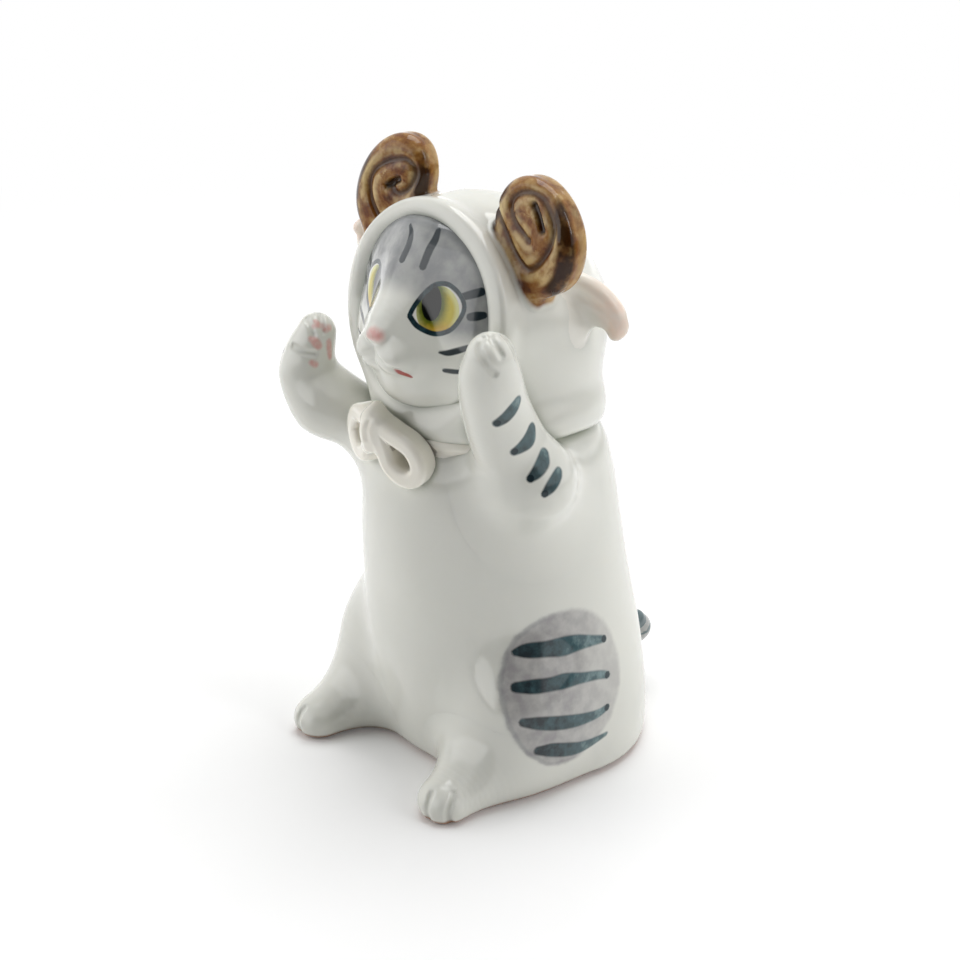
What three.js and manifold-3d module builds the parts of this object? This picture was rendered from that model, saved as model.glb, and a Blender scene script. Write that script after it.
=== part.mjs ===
// A small glazed porcelain cat in a ram costume: hollow casts and hand-rolled clay luted together.
// Millimetres, +Z up. The cat faces -Y and stands on Z = 0, with its left paw towards +X.
import * as THREE from "three";
import { mergeVertices } from "three/addons/utils/BufferGeometryUtils.js";
import Module from "manifold-3d";

const wasm = await Module();
wasm.setup();

// Fits shared by every piece
const seam = 0.3; // slip seam left open between two luted pieces
const castWall = 2.8; // thickness of the two hollow casts
const ventRadius = 1.5; // kiln vent in the base
const ventSetback = 9; // vent behind the middle of the base
const neckStem = { radius: 12, setback: 1.5, sunk: 2.5 }; // stem of the head that sits over the shoulders
const neckBore = 2.6; // passage that joins the hollow of the head to the hollow of the body

// Costume body: horizontal oval sections from the base up
const bodySections = [
  { z: 0, halfWidth: 22.7, halfDepth: 19.0, setback: 5.6 },
  { z: 1.6, halfWidth: 23.7, halfDepth: 19.9, setback: 5.5 },
  { z: 9, halfWidth: 23.5, halfDepth: 21.1, setback: 4.8 },
  { z: 17, halfWidth: 22.6, halfDepth: 21.5, setback: 3.8 },
  { z: 27, halfWidth: 20.6, halfDepth: 20.8, setback: 2.6 },
  { z: 37, halfWidth: 19.4, halfDepth: 20.2, setback: 1.6 },
  { z: 46, halfWidth: 18.2, halfDepth: 19.0, setback: 0.9 },
  { z: 52, halfWidth: 16.6, halfDepth: 17.2, setback: 0.4 },
  { z: 56.5, halfWidth: 11.5, halfDepth: 12.0, setback: 0.2 },
];
const neckHeight = bodySections[bodySections.length - 1].z;

// Haunches and hind feet
const haunch = { spread: 14.2, setback: -5.5, height: 11, radii: [9.2, 10.4, 13.8] };
const foot = { spread: 15.6, heelY: -9, toeY: -25.8, halfWidth: 4.8, height: 7.6, toeOut: 0.8 };
const toeGroove = { width: 0.9, depth: 1.5, length: 4.2, spacing: 3.4 };

// Cat's head inside the hood
const faceCentreZ = 71.4;
const face = { halfWidth: 19.4, halfDepth: 16, halfHeight: 19.4, drop: 0.8 };
const muzzle = { forward: 20.4, drop: 3.2, radii: [7.6, 6.4, 6.0] };
const whiskerPad = { forward: 21.3, drop: 4.2, spread: 2.6, radii: [3.4, 3.2, 2.8] };
const chin = { forward: 17.4, drop: 9.4, radii: [5.6, 4.0, 3.8] };
const nose = { forward: 21.8, drop: 0.7, radii: [2.0, 1.8, 1.4] };
const bridge = { browForward: 14.2, browRise: 6.2, tipForward: 18.4, tipRise: 0.4, radius: 2.3 };

// Hood: sections facing the front, from the rim back to the crown
const hoodWall = 1.9;
const rimLean = 0.13; // how much further forward the rim is at the chin than at the brow, per mm of height
const hoodSections = [
  { y: -11.4, halfWidth: 15.9, halfHeight: 15.2, lift: 0 },
  { y: -6, halfWidth: 16.9, halfHeight: 15.8, lift: 0 },
  { y: 1, halfWidth: 17.2, halfHeight: 15.9, lift: -0.2 },
  { y: 8, halfWidth: 15.0, halfHeight: 14.2, lift: -1.0 },
  { y: 13, halfWidth: 11.0, halfHeight: 10.6, lift: -1.6 },
  { y: 16.4, halfWidth: 5.0, halfHeight: 5.0, lift: -2.0 },
];
const rim = { radius: 1.15, inset: 0.5 };
const hemLean = 0.09; // how much lower the hem hangs behind, per mm towards the back
const capeSections = [
  { z: 53.8, halfWidth: 16.4, back: 17.0, front: 15.4 },
  { z: 55.0, halfWidth: 17.4, back: 17.9, front: 15.6 },
  { z: 57.5, halfWidth: 18.0, back: 18.4, front: 13.6 },
  { z: 61.5, halfWidth: 17.2, back: 17.6, front: 11.2 },
  { z: 66.0, halfWidth: 16.7, back: 17.1, front: 10.0 },
  { z: 70.0, halfWidth: 15.6, back: 15.8, front: 8.0 },
];

// Ram horns: flat coils that stand on the hood at an angle above its widest line
const horn = { setback: -4.4, thickness: 6.0, turns: 1.75, coreShare: 0.05, turnGap: 0.4 };
const leftHorn = { angle: 42, standOff: 4.2, splay: 4, swing: 0, lean: 0, halfWide: 7.8, halfTall: 8.9 };
const rightHorn = { angle: 47.5, standOff: 4.0, splay: -14, swing: 10, lean: 21, halfWide: 6.4, halfTall: 9.2 };

// Sheep's ears below the horns, measured from where they leave the hood
const ear = { sunk: 2.0, halfWidth: 2.9, thickness: 2.4 };
const leftEar = { rootY: 1.6, rise: 5.0, reach: 6.2, sweep: 4.0, droop: 5.8 };
const rightEar = { rootY: 1.6, rise: 7.0, reach: 11.8, sweep: -3.0, droop: 3.2 };

// Raised front legs
const leftArm = {
  shoulder: [12, -2.5, 42.6], elbow: [16.6, -6.4, 50], wrist: [16.2, -12.6, 62.4], paw: [18.8, -16, 71.0],
  radii: { shoulder: 5.9, elbow: 5.9, wrist: 4.7, paw: 3.4 },
};
const rightArm = {
  shoulder: [-9, -9, 48.6], elbow: [-19.4, -15.6, 53.2], wrist: [-21, -16.6, 60.4], paw: [-19.9, -15.6, 64.8],
  radii: { shoulder: 5.2, elbow: 5.4, wrist: 4.1, paw: 3.1 },
};

// Ribbon round the neck and its bow
const ribbon = { aboveHem: 0.4, radius: 1.25, rootShare: 0.6 }; // its ends are tucked under the front legs
const ribbonHeight = capeSections[0].z + ribbon.aboveHem;
const bow = { offset: -0.8, loopLength: 9.6, loopHeight: 6.2, band: 1.6, width: 4.2, sag: 47, knotRadii: [1.5, 2.4, 3.3] };
const bowRise = 2.2; // knot centre above the ribbon

// Tail curled against the back
const tail = { height: 7, radius: 2.6, tipRadius: 1.4, rise: 6, side: 9, standOff: 3.4 };

// Turns a closed three.js geometry into a solid that can be joined and cut
function solid(geometry) {
  const bare = geometry.clone();
  for (const name of Object.keys(bare.attributes)) {
    if (name !== "position") bare.deleteAttribute(name);
  }
  const merged = mergeVertices(bare, 1e-4);
  const mesh = new wasm.Mesh({
    numProp: 3,
    vertProperties: new Float32Array(merged.attributes.position.array),
    triVerts: new Uint32Array(merged.index.array),
  });
  return new wasm.Manifold(mesh);
}

function geometryOf(made) {
  const { vertProperties, triVerts } = made.getMesh();
  const geometry = new THREE.BufferGeometry();
  geometry.setAttribute("position", new THREE.BufferAttribute(vertProperties, 3));
  geometry.setIndex(new THREE.BufferAttribute(triVerts, 1));
  geometry.computeVertexNormals();
  return geometry;
}

// Skins a row of equal rings, each a list of points, and closes both ends
function skin(rings) {
  const sides = rings[0].length;
  const middle = (ring) => ring.reduce((sum, p) => sum.add(p), new THREE.Vector3()).divideScalar(ring.length);
  const points = [...rings.flat(), middle(rings[0]), middle(rings[rings.length - 1])];
  const first = points.length - 2;
  const last = points.length - 1;
  const faces = [];
  for (let r = 0; r + 1 < rings.length; r++) {
    for (let s = 0; s < sides; s++) {
      const a = r * sides + s;
      const b = r * sides + ((s + 1) % sides);
      faces.push(a, b, b + sides, a, b + sides, a + sides);
    }
  }
  for (let s = 0; s < sides; s++) {
    const next = (s + 1) % sides;
    const top = (rings.length - 1) * sides;
    faces.push(first, next, s, last, top + s, top + next);
  }
  const geometry = new THREE.BufferGeometry();
  geometry.setAttribute("position", new THREE.Float32BufferAttribute(points.flatMap((p) => p.toArray()), 3));
  geometry.setIndex(faces);
  return geometry;
}

// Skins rings that follow one another round a closed loop
function ringSkin(rings) {
  const sides = rings[0].length;
  const faces = [];
  for (let k = 0; k < rings.length; k++) {
    for (let s = 0; s < sides; s++) {
      const next = ((k + 1) % rings.length) * sides;
      const a = k * sides + s;
      const b = k * sides + ((s + 1) % sides);
      faces.push(a, b, next + ((s + 1) % sides), a, next + ((s + 1) % sides), next + s);
    }
  }
  const geometry = new THREE.BufferGeometry();
  geometry.setAttribute("position", new THREE.Float32BufferAttribute(rings.flat().flatMap((p) => p.toArray()), 3));
  geometry.setIndex(faces);
  return geometry;
}

// A smooth value between listed sections
function between(sections, along, place, key) {
  const last = sections.length - 1;
  const at = THREE.MathUtils.clamp(place, sections[0][along], sections[last][along]);
  let i = 0;
  while (i < last - 1 && at > sections[i + 1][along]) i++;
  const slope = (k) => {
    const low = sections[Math.max(k - 1, 0)];
    const high = sections[Math.min(k + 1, last)];
    return (high[key] - low[key]) / (high[along] - low[along]);
  };
  const [from, to] = [sections[i], sections[i + 1]];
  const span = to[along] - from[along];
  const t = (at - from[along]) / span;
  const [t2, t3] = [t * t, t * t * t];
  return (
    (2 * t3 - 3 * t2 + 1) * from[key] + (t3 - 2 * t2 + t) * span * slope(i) +
    (3 * t2 - 2 * t3) * to[key] + (t3 - t2) * span * slope(i + 1)
  );
}

function ellipsoid(centre, radii, across = 20, down = 14) {
  const geometry = new THREE.SphereGeometry(1, across, down);
  geometry.rotateX(Math.PI / 2);
  geometry.scale(...radii);
  geometry.translate(...centre);
  return solid(geometry);
}

// A rounded bar along a curve; radius(t) gives its half thickness across and along the second axis
function bar(curve, radius, steps, sides, up = new THREE.Vector3(0, 1, 0)) {
  const rings = [];
  const dome = 3;
  const add = (centre, forward, wide, thick) => {
    const across = new THREE.Vector3().crossVectors(forward, up).normalize();
    const other = new THREE.Vector3().crossVectors(forward, across).normalize();
    rings.push(
      Array.from({ length: sides }, (_, s) => {
        const turn = (2 * Math.PI * s) / sides;
        return centre.clone().addScaledVector(across, wide * Math.cos(turn)).addScaledVector(other, thick * Math.sin(turn));
      }),
    );
  };
  const start = curve.getPointAt(0);
  const startWay = curve.getTangentAt(0);
  const [startWide, startThick] = radius(0);
  for (let d = dome; d > 0; d--) {
    const angle = (Math.PI / 2) * (d / (dome + 0.6));
    const centre = start.clone().addScaledVector(startWay, -Math.sin(angle) * Math.min(startWide, startThick));
    add(centre, startWay, startWide * Math.cos(angle), startThick * Math.cos(angle));
  }
  for (let k = 0; k <= steps; k++) {
    add(curve.getPointAt(k / steps), curve.getTangentAt(k / steps), ...radius(k / steps));
  }
  const end = curve.getPointAt(1);
  const endWay = curve.getTangentAt(1);
  const [endWide, endThick] = radius(1);
  for (let d = 1; d <= dome; d++) {
    const angle = (Math.PI / 2) * (d / (dome + 0.6));
    const centre = end.clone().addScaledVector(endWay, Math.sin(angle) * Math.min(endWide, endThick));
    add(centre, endWay, endWide * Math.cos(angle), endThick * Math.cos(angle));
  }
  return solid(skin(rings));
}

function box(low, high) {
  const size = high.map((v, i) => v - low[i]);
  const geometry = new THREE.BoxGeometry(...size);
  geometry.translate(...high.map((v, i) => (v + low[i]) / 2));
  return solid(geometry);
}

// An upright round bore from one height to another
function bore(x, y, radius, low, high) {
  const geometry = new THREE.CylinderGeometry(radius, radius, high - low, 20);
  geometry.rotateX(Math.PI / 2);
  geometry.translate(x, y, (low + high) / 2);
  return solid(geometry);
}

const belowGround = box([-80, -80, -40], [80, 80, 0]);

// Outside of the costume body, grown or shrunk all round
function bodyForm(grow = 0, low = 0, high = neckHeight, rows = 20, sides = 36) {
  const rings = [];
  for (let r = 0; r <= rows; r++) {
    const t = r / rows;
    const z = low + (high - low) * (t < 0.5 ? 2 * t * t * 0.5 + t * 0.5 : t);
    const place = THREE.MathUtils.clamp(z, 0, neckHeight);
    const wide = between(bodySections, "z", place, "halfWidth") + grow;
    const deep = between(bodySections, "z", place, "halfDepth") + grow;
    const y = between(bodySections, "z", place, "setback");
    rings.push(
      Array.from({ length: sides }, (_, s) => {
        const turn = (2 * Math.PI * s) / sides;
        return new THREE.Vector3(wide * Math.cos(turn), y + deep * Math.sin(turn), z);
      }),
    );
  }
  return solid(skin(rings));
}

function haunches(grow = 0) {
  const grown = haunch.radii.map((r) => r + grow);
  return [-1, 1]
    .map((side) => ellipsoid([side * haunch.spread, haunch.setback, haunch.height], grown, 20, 14))
    .reduce((a, b) => a.add(b));
}

const bodyOuter = bodyForm().add(haunches()).subtract(belowGround);
const bodyGrown = bodyForm(seam, -seam, neckHeight + seam).add(haunches(seam));
const bodyHollow = bodyForm(-castWall, castWall, neckHeight - castWall, 12, 28);

function bodyShell() {
  return bodyOuter
    .subtract(bodyHollow)
    .subtract(bore(0, ventSetback, ventRadius, -1, castWall + 1))
    .subtract(bore(0, 0, neckBore, neckHeight - castWall - 1, neckHeight + 1));
}

function hindFoot(side) {
  const curve = new THREE.CatmullRomCurve3([
    new THREE.Vector3(side * (foot.spread - foot.toeOut), foot.heelY, foot.height * 0.52),
    new THREE.Vector3(side * (foot.spread - 0.4 * foot.toeOut), 0.5 * (foot.heelY + foot.toeY), foot.height * 0.45),
    new THREE.Vector3(side * foot.spread, foot.toeY + foot.halfWidth * 0.62, foot.height * 0.3),
  ]);
  const radius = (t) => {
    const wide = foot.halfWidth * (0.96 + 0.06 * Math.sin(Math.PI * t));
    const tall = foot.height * (0.62 - 0.2 * t);
    return [wide, tall];
  };
  let made = bar(curve, radius, 7, 18, new THREE.Vector3(0, 0, 1)).subtract(belowGround);
  for (const k of [-0.5, 0.5]) {
    const x = side * foot.spread + k * toeGroove.spacing;
    const groove = ellipsoid(
      [x, foot.toeY, foot.height * 0.2],
      [toeGroove.width / 2, toeGroove.depth, toeGroove.length],
      10,
      8,
    );
    made = made.subtract(groove);
  }
  return made.subtract(bodyGrown);
}

// Hood outline as rings that face the front; the rim leans with height
function hoodForm(grow, frontExtra, backExtra, sides = 32) {
  const first = hoodSections[0].y;
  const last = hoodSections[hoodSections.length - 1].y;
  const rows = 12;
  const ring = (y, wide, tall, lift) =>
    Array.from({ length: sides }, (_, s) => {
      const turn = (2 * Math.PI * s) / sides;
      const z = tall * Math.sin(turn);
      const lean = rimLean * z * THREE.MathUtils.clamp((last - y) / (last - first), 0, 1);
      return new THREE.Vector3(-wide * Math.cos(turn), y + lean, faceCentreZ + lift + z);
    });
  const rings = [];
  if (frontExtra) {
    rings.push(ring(first - frontExtra, hoodSections[0].halfWidth + grow, hoodSections[0].halfHeight + grow, 0));
  }
  for (let r = 0; r <= rows; r++) {
    const y = first + ((last - first) * r) / rows;
    const pick = (key) => between(hoodSections, "y", y, key);
    rings.push(ring(y, pick("halfWidth") + grow, pick("halfHeight") + grow, pick("lift")));
  }
  const tailEnd = hoodSections[hoodSections.length - 1];
  rings.push(
    ring(last + backExtra, (tailEnd.halfWidth + grow) * 0.5, (tailEnd.halfHeight + grow) * 0.5, tailEnd.lift),
  );
  return solid(skin(rings));
}

// The hood's collar, which hangs over the shoulders down to the hem
function capeForm(grow = 0) {
  const rows = 9;
  const sides = 32;
  const low = capeSections[0].z;
  const high = capeSections[capeSections.length - 1].z;
  const rings = [];
  for (let r = 0; r <= rows; r++) {
    const z = low + (high - low) * Math.pow(r / rows, 1.4);
    const pick = (key) => between(capeSections, "z", z, key);
    rings.push(
      Array.from({ length: sides }, (_, s) => {
        const turn = (2 * Math.PI * s) / sides;
        const reach = pick(Math.sin(turn) < 0 ? "front" : "back") + grow;
        const y = reach * Math.sin(turn);
        const lean = hemLean * y * (1 - r / rows);
        const drop = r === 0 ? grow : 0;
        return new THREE.Vector3((pick("halfWidth") + grow) * Math.cos(turn), y, z - lean - drop);
      }),
    );
  }
  return solid(skin(rings));
}

// The rolled lip round the face opening
function rimRing(grow = 0) {
  const first = hoodSections[0];
  const sides = 10;
  const around = 36;
  const rings = [];
  for (let k = 0; k < around; k++) {
    const turn = (2 * Math.PI * k) / around;
    const centre = new THREE.Vector3(
      (first.halfWidth - rim.inset) * Math.cos(turn),
      first.y + rimLean * first.halfHeight * Math.sin(turn),
      faceCentreZ + (first.halfHeight - rim.inset) * Math.sin(turn),
    );
    const out = new THREE.Vector3(Math.cos(turn), 0, Math.sin(turn));
    rings.push(
      Array.from({ length: sides }, (_, s) => {
        const a = (2 * Math.PI * s) / sides;
        return centre
          .clone()
          .addScaledVector(out, (rim.radius + grow) * Math.cos(a))
          .add(new THREE.Vector3(0, (rim.radius + grow) * Math.sin(a), 0));
      }),
    );
  }
  return solid(ringSkin(rings));
}

// The stem between the shoulders and the head, also cut out of the hood
function stem(grow = 0) {
  return bore(0, neckStem.setback, neckStem.radius + grow, neckHeight - neckStem.sunk, faceCentreZ - 3);
}

const hoodGrown = hoodForm(seam, 0, 1.6).add(capeForm(seam)).add(rimRing(seam));

function hoodShell() {
  const inside = hoodForm(-hoodWall, 14, 0.1).add(stem(seam));
  return hoodForm(0, 0, 1.6).add(capeForm()).subtract(inside).add(rimRing()).subtract(bodyGrown);
}

function head() {
  const centre = [0, 0, faceCentreZ - face.drop];
  const inside = hoodForm(-hoodWall - seam, 8, 0.1);
  const at = (part, side = 0) => [side * (part.spread ?? 0), -part.forward + part.radii[1], faceCentreZ - part.drop];
  const ball = ellipsoid(centre, [face.halfWidth, face.halfDepth, face.halfHeight], 32, 22);
  const noseBridge = bar(
    new THREE.LineCurve3(
      new THREE.Vector3(0, bridge.radius - bridge.browForward, faceCentreZ + bridge.browRise),
      new THREE.Vector3(0, bridge.radius - bridge.tipForward, faceCentreZ + bridge.tipRise),
    ),
    () => [bridge.radius, bridge.radius],
    3,
    14,
  );
  let made = ball.intersect(inside).add(noseBridge).add(stem());
  made = made.add(ellipsoid(at(muzzle), muzzle.radii, 20, 14));
  for (const side of [-1, 1]) made = made.add(ellipsoid(at(whiskerPad, side), whiskerPad.radii, 16, 12));
  made = made.add(ellipsoid(at(chin), chin.radii, 16, 12)).add(ellipsoid(at(nose), nose.radii, 12, 8));
  const hollow = [face.halfDepth, face.halfDepth, face.halfDepth].map((r) => r - castWall - 1.6);
  return made
    .subtract(bodyGrown)
    .subtract(ellipsoid([0, 1, faceCentreZ], hollow, 18, 12))
    .subtract(bore(0, 0, neckBore, neckHeight - neckStem.sunk - 1, faceCentreZ - 8));
}

// One flat coil of clay, wound in the plane that faces the front, from its pointed tip to its core
function hornCoil(side, stand) {
  const pitch = (1 - horn.coreShare) / (horn.turns + 0.5);
  const steps = 52;
  const sides = 12;
  const band = (pitch * (stand.halfWide + stand.halfTall)) / 4 - horn.turnGap / 2;
  const squarish = (v) => Math.sign(v) * Math.pow(Math.abs(v), 0.7);
  const rings = [];
  for (let k = 0; k <= steps; k++) {
    const t = k / steps;
    const turn = -Math.PI / 2 - 2 * Math.PI * horn.turns * t;
    const reach = 1 - pitch / 2 - pitch * horn.turns * t;
    const taper = Math.min(1, 0.2 + 4 * t, 0.5 + 5 * (1 - t));
    const way = new THREE.Vector3(-side * Math.cos(turn), 0, Math.sin(turn));
    const centre = new THREE.Vector3(way.x * reach * stand.halfWide, 0, way.z * reach * stand.halfTall);
    rings.push(
      Array.from({ length: sides }, (_, s) => {
        const a = (2 * Math.PI * s) / sides;
        const deep = (horn.thickness / 2) * Math.sqrt(taper) * squarish(Math.sin(a));
        const wide = band * taper * squarish(Math.cos(a));
        return centre.clone().addScaledVector(way, wide).add(new THREE.Vector3(0, deep, 0));
      }),
    );
  }
  if (side < 0) rings.forEach((ring) => ring.reverse());
  const geometry = skin(rings);
  geometry.rotateY(side * THREE.MathUtils.degToRad(stand.splay - stand.lean));
  geometry.rotateZ(THREE.MathUtils.degToRad(stand.swing));
  const angle = THREE.MathUtils.degToRad(stand.angle);
  const out = (hoodSections[2].halfWidth + stand.standOff) * Math.cos(angle);
  const up = (hoodSections[2].halfHeight + stand.standOff) * Math.sin(angle);
  geometry.translate(side * out, horn.setback, faceCentreZ + up);
  return solid(geometry).subtract(hoodGrown);
}

function sheepEar(side, hang) {
  const root = new THREE.Vector3(side * (hoodSections[2].halfWidth - ear.sunk), hang.rootY, faceCentreZ + hang.rise);
  const curve = new THREE.CatmullRomCurve3([
    root,
    root.clone().add(new THREE.Vector3(side * hang.reach * 0.6, hang.sweep * 0.4, -hang.droop * 0.4)),
    root.clone().add(new THREE.Vector3(side * hang.reach, hang.sweep, -hang.droop)),
  ]);
  const radius = (t) => [ear.halfWidth * (0.75 + 0.25 * Math.sin(Math.PI * t)), (ear.thickness / 2) * (1.2 - 0.25 * t)];
  return bar(curve, radius, 8, 14, new THREE.Vector3(side * 0.6, -0.7, 0.35)).subtract(hoodGrown);
}

function legForm(leg, grow = 0) {
  const [shoulder, elbow, wrist, paw] = [leg.shoulder, leg.elbow, leg.wrist, leg.paw].map((p) => new THREE.Vector3(...p));
  const thick = leg.radii;
  const up = new THREE.Vector3(0, -1, 0.1);
  const upper = bar(new THREE.LineCurve3(shoulder, elbow), (t) => {
    const r = THREE.MathUtils.lerp(thick.shoulder, 0.98 * thick.elbow, t) + grow;
    return [r, r];
  }, 3, 18, up);
  const fore = bar(new THREE.CatmullRomCurve3([elbow, wrist, paw]), (t) => {
    const thin = t < 0.6 ? THREE.MathUtils.lerp(thick.elbow, thick.wrist, t / 0.6) : thick.wrist;
    const r = THREE.MathUtils.lerp(thin, thick.paw, Math.max(0, (t - 0.6) / 0.4)) + grow;
    return [r, r];
  }, 9, 18, up);
  return upper.add(fore);
}

function frontLeg(made) {
  return legForm(made).subtract(bodyGrown).subtract(hoodGrown);
}

const legsGrown = legForm(leftArm, seam).add(legForm(rightArm, seam));

function ribbonForm(grow = 0) {
  const points = [];
  const tuckedUnder = ({ shoulder, elbow }) => {
    const [x, y] = [0, 1].map((i) => THREE.MathUtils.lerp(shoulder[i], elbow[i], ribbon.rootShare));
    return Math.atan2(y, x);
  };
  const [right, left] = [tuckedUnder(rightArm), tuckedUnder(leftArm)];
  const steps = 12;
  for (let k = 0; k <= steps; k++) {
    const turn = THREE.MathUtils.lerp(right, left, k / steps);
    const wide = between(bodySections, "z", ribbonHeight, "halfWidth") + ribbon.radius * 0.7;
    const deep = between(bodySections, "z", ribbonHeight, "halfDepth") + ribbon.radius * 0.7;
    points.push(new THREE.Vector3(wide * Math.cos(turn), 0.4 + deep * Math.sin(turn), ribbonHeight));
  }
  const curve = new THREE.CatmullRomCurve3(points);
  return bar(curve, () => [ribbon.radius + grow, ribbon.radius + grow], 20, 10, new THREE.Vector3(0, 0, 1));
}

const ribbonGrown = ribbonForm(seam);

function neckRibbon() {
  return [bodyGrown, hoodGrown, legsGrown].reduce((a, b) => a.subtract(b), ribbonForm());
}

const knotPlace = new THREE.Vector3(
  bow.offset,
  -between(bodySections, "z", ribbonHeight, "halfDepth") - ribbon.radius * 2 - bow.knotRadii[1] * 0.6,
  ribbonHeight + bowRise,
);

function knotForm(grow = 0) {
  return ellipsoid(knotPlace.toArray(), bow.knotRadii.map((r) => r + grow), 16, 12);
}

// A teardrop of ribbon with its open sides facing front and back
function bowLoop(side) {
  const half = (bow.loopHeight - bow.band) / 2;
  const far = bow.loopLength - bow.band / 2;
  const near = bow.band * 0.75;
  const path = new THREE.CatmullRomCurve3(
    [
      [near, 0], [far * 0.3, half * 0.55], [far * 0.62, half], [far * 0.9, half * 0.72],
      [far, 0], [far * 0.9, -half * 0.72], [far * 0.62, -half], [far * 0.3, -half * 0.55],
    ].map(([x, z]) => new THREE.Vector3(x, 0, z)),
    true,
  );
  const corner = 0.35;
  const [a, b] = [bow.band / 2, bow.width / 2];
  const section = [
    [a, b - corner], [a - corner, b], [corner - a, b], [-a, b - corner],
    [-a, corner - b], [corner - a, -b], [a - corner, -b], [a, corner - b],
  ];
  const around = 40;
  const rings = [];
  for (let k = 0; k < around; k++) {
    const way = path.getTangentAt(k / around);
    const out = new THREE.Vector3(way.z, 0, -way.x);
    const centre = path.getPointAt(k / around);
    rings.push(section.map(([u, v]) => centre.clone().addScaledVector(out, u).add(new THREE.Vector3(0, v, 0))));
  }
  const geometry = ringSkin(rings);
  geometry.rotateY(THREE.MathUtils.degToRad(bow.sag));
  geometry.translate(bow.knotRadii[0] * 0.6, 0, 0);
  if (side < 0) geometry.rotateZ(Math.PI);
  geometry.translate(knotPlace.x, knotPlace.y + 0.3, knotPlace.z);
  return [knotForm(seam), bodyGrown, ribbonGrown, hoodGrown].reduce((a, b) => a.subtract(b), solid(geometry));
}

function backTail() {
  const y = between(bodySections, "z", tail.height, "setback") + between(bodySections, "z", tail.height, "halfDepth");
  const curve = new THREE.CatmullRomCurve3([
    new THREE.Vector3(0, y - 2, tail.height - 3),
    new THREE.Vector3(tail.side * 0.35, y + tail.standOff * 0.7, tail.height - 1),
    new THREE.Vector3(tail.side * 0.85, y + tail.standOff * 0.55, tail.height + tail.rise * 0.5),
    new THREE.Vector3(tail.side, y - 0.4, tail.height + tail.rise),
  ]);
  const radius = (t) => {
    const r = THREE.MathUtils.lerp(tail.radius, tail.tipRadius, t);
    return [r, r];
  };
  return bar(curve, radius, 12, 12, new THREE.Vector3(0, 0, 1)).subtract(bodyGrown);
}

const glaze = new THREE.MeshStandardMaterial({ color: 0xe9ebe6, roughness: 0.12, metalness: 0 });
const furGrey = new THREE.MeshStandardMaterial({ color: 0xb4b3b1, roughness: 0.14, metalness: 0 });
const hornBrown = new THREE.MeshStandardMaterial({ color: 0x9a7448, roughness: 0.16, metalness: 0 });
const earPink = new THREE.MeshStandardMaterial({ color: 0xe8d6c8, roughness: 0.14, metalness: 0 });

const figurine = new THREE.Group();
function place(name, made, material) {
  const mesh = new THREE.Mesh(geometryOf(made), material);
  mesh.name = name;
  figurine.add(mesh);
}

place("body_shell", bodyShell(), glaze);
place("left_hind_foot", hindFoot(1), glaze);
place("right_hind_foot", hindFoot(-1), glaze);
place("hood", hoodShell(), glaze);
place("head", head(), furGrey);
place("left_horn", hornCoil(1, leftHorn), hornBrown);
place("right_horn", hornCoil(-1, rightHorn), hornBrown);
place("left_ear", sheepEar(1, leftEar), earPink);
place("right_ear", sheepEar(-1, rightEar), earPink);
place("left_arm", frontLeg(leftArm), glaze);
place("right_arm", frontLeg(rightArm), glaze);
place("neck_ribbon", neckRibbon(), glaze);
place("left_bow_loop", bowLoop(1), glaze);
place("right_bow_loop", bowLoop(-1), glaze);
place("bow_knot", knotForm().subtract(ribbonGrown).subtract(bodyGrown).subtract(hoodGrown), glaze);
place("tail", backTail(), furGrey);

export default figurine;
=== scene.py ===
import math
from functools import partial
import bpy
import numpy as np
from mathutils import Matrix, Vector


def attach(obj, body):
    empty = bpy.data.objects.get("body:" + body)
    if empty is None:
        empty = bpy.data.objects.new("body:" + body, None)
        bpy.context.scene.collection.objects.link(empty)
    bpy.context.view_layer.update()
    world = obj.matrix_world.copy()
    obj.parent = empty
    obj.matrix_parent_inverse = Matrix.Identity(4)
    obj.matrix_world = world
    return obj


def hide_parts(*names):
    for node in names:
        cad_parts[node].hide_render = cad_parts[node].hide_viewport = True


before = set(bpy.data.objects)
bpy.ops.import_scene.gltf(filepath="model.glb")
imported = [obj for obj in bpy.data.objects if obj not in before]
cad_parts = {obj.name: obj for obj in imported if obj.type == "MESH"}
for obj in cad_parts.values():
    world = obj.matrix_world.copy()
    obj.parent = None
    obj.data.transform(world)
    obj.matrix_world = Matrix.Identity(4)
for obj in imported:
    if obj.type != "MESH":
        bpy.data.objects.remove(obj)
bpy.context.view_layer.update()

mm = 0.001  # every form below is written in millimetres
detail = 1.0  # coarser skins while trying things
print("frame loaded:", len(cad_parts), "parts")


def placed(name, data):  # puts a mesh, lamp or camera into the scene
    made = bpy.data.objects.new(name, data)
    bpy.context.scene.collection.objects.link(made)
    return made


# Modelling kit: a form gives each point its distance in mm, negative inside

def softMin(a, b, k):  # joins two forms with a fillet about k wide
    h = np.maximum(k - np.abs(a - b), 0) / k
    return np.minimum(a, b) - h * h * k / 4


def softMax(a, b, k):  # trims one form by another and rounds the edge
    h = np.maximum(k - np.abs(a - b), 0) / k
    return np.maximum(a, b) + h * h * k / 4


def eggDistance(q, radii):  # distance from an egg of clay round the origin
    q = q / radii
    near = np.sqrt((q * q).sum(1))
    return near * (near - 1) / np.maximum(np.sqrt(((q / radii) ** 2).sum(1)), 1e-6)


def oval(p, centre, radii):
    return eggDistance(p - np.asarray(centre, p.dtype), np.asarray(radii, p.dtype))


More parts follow.
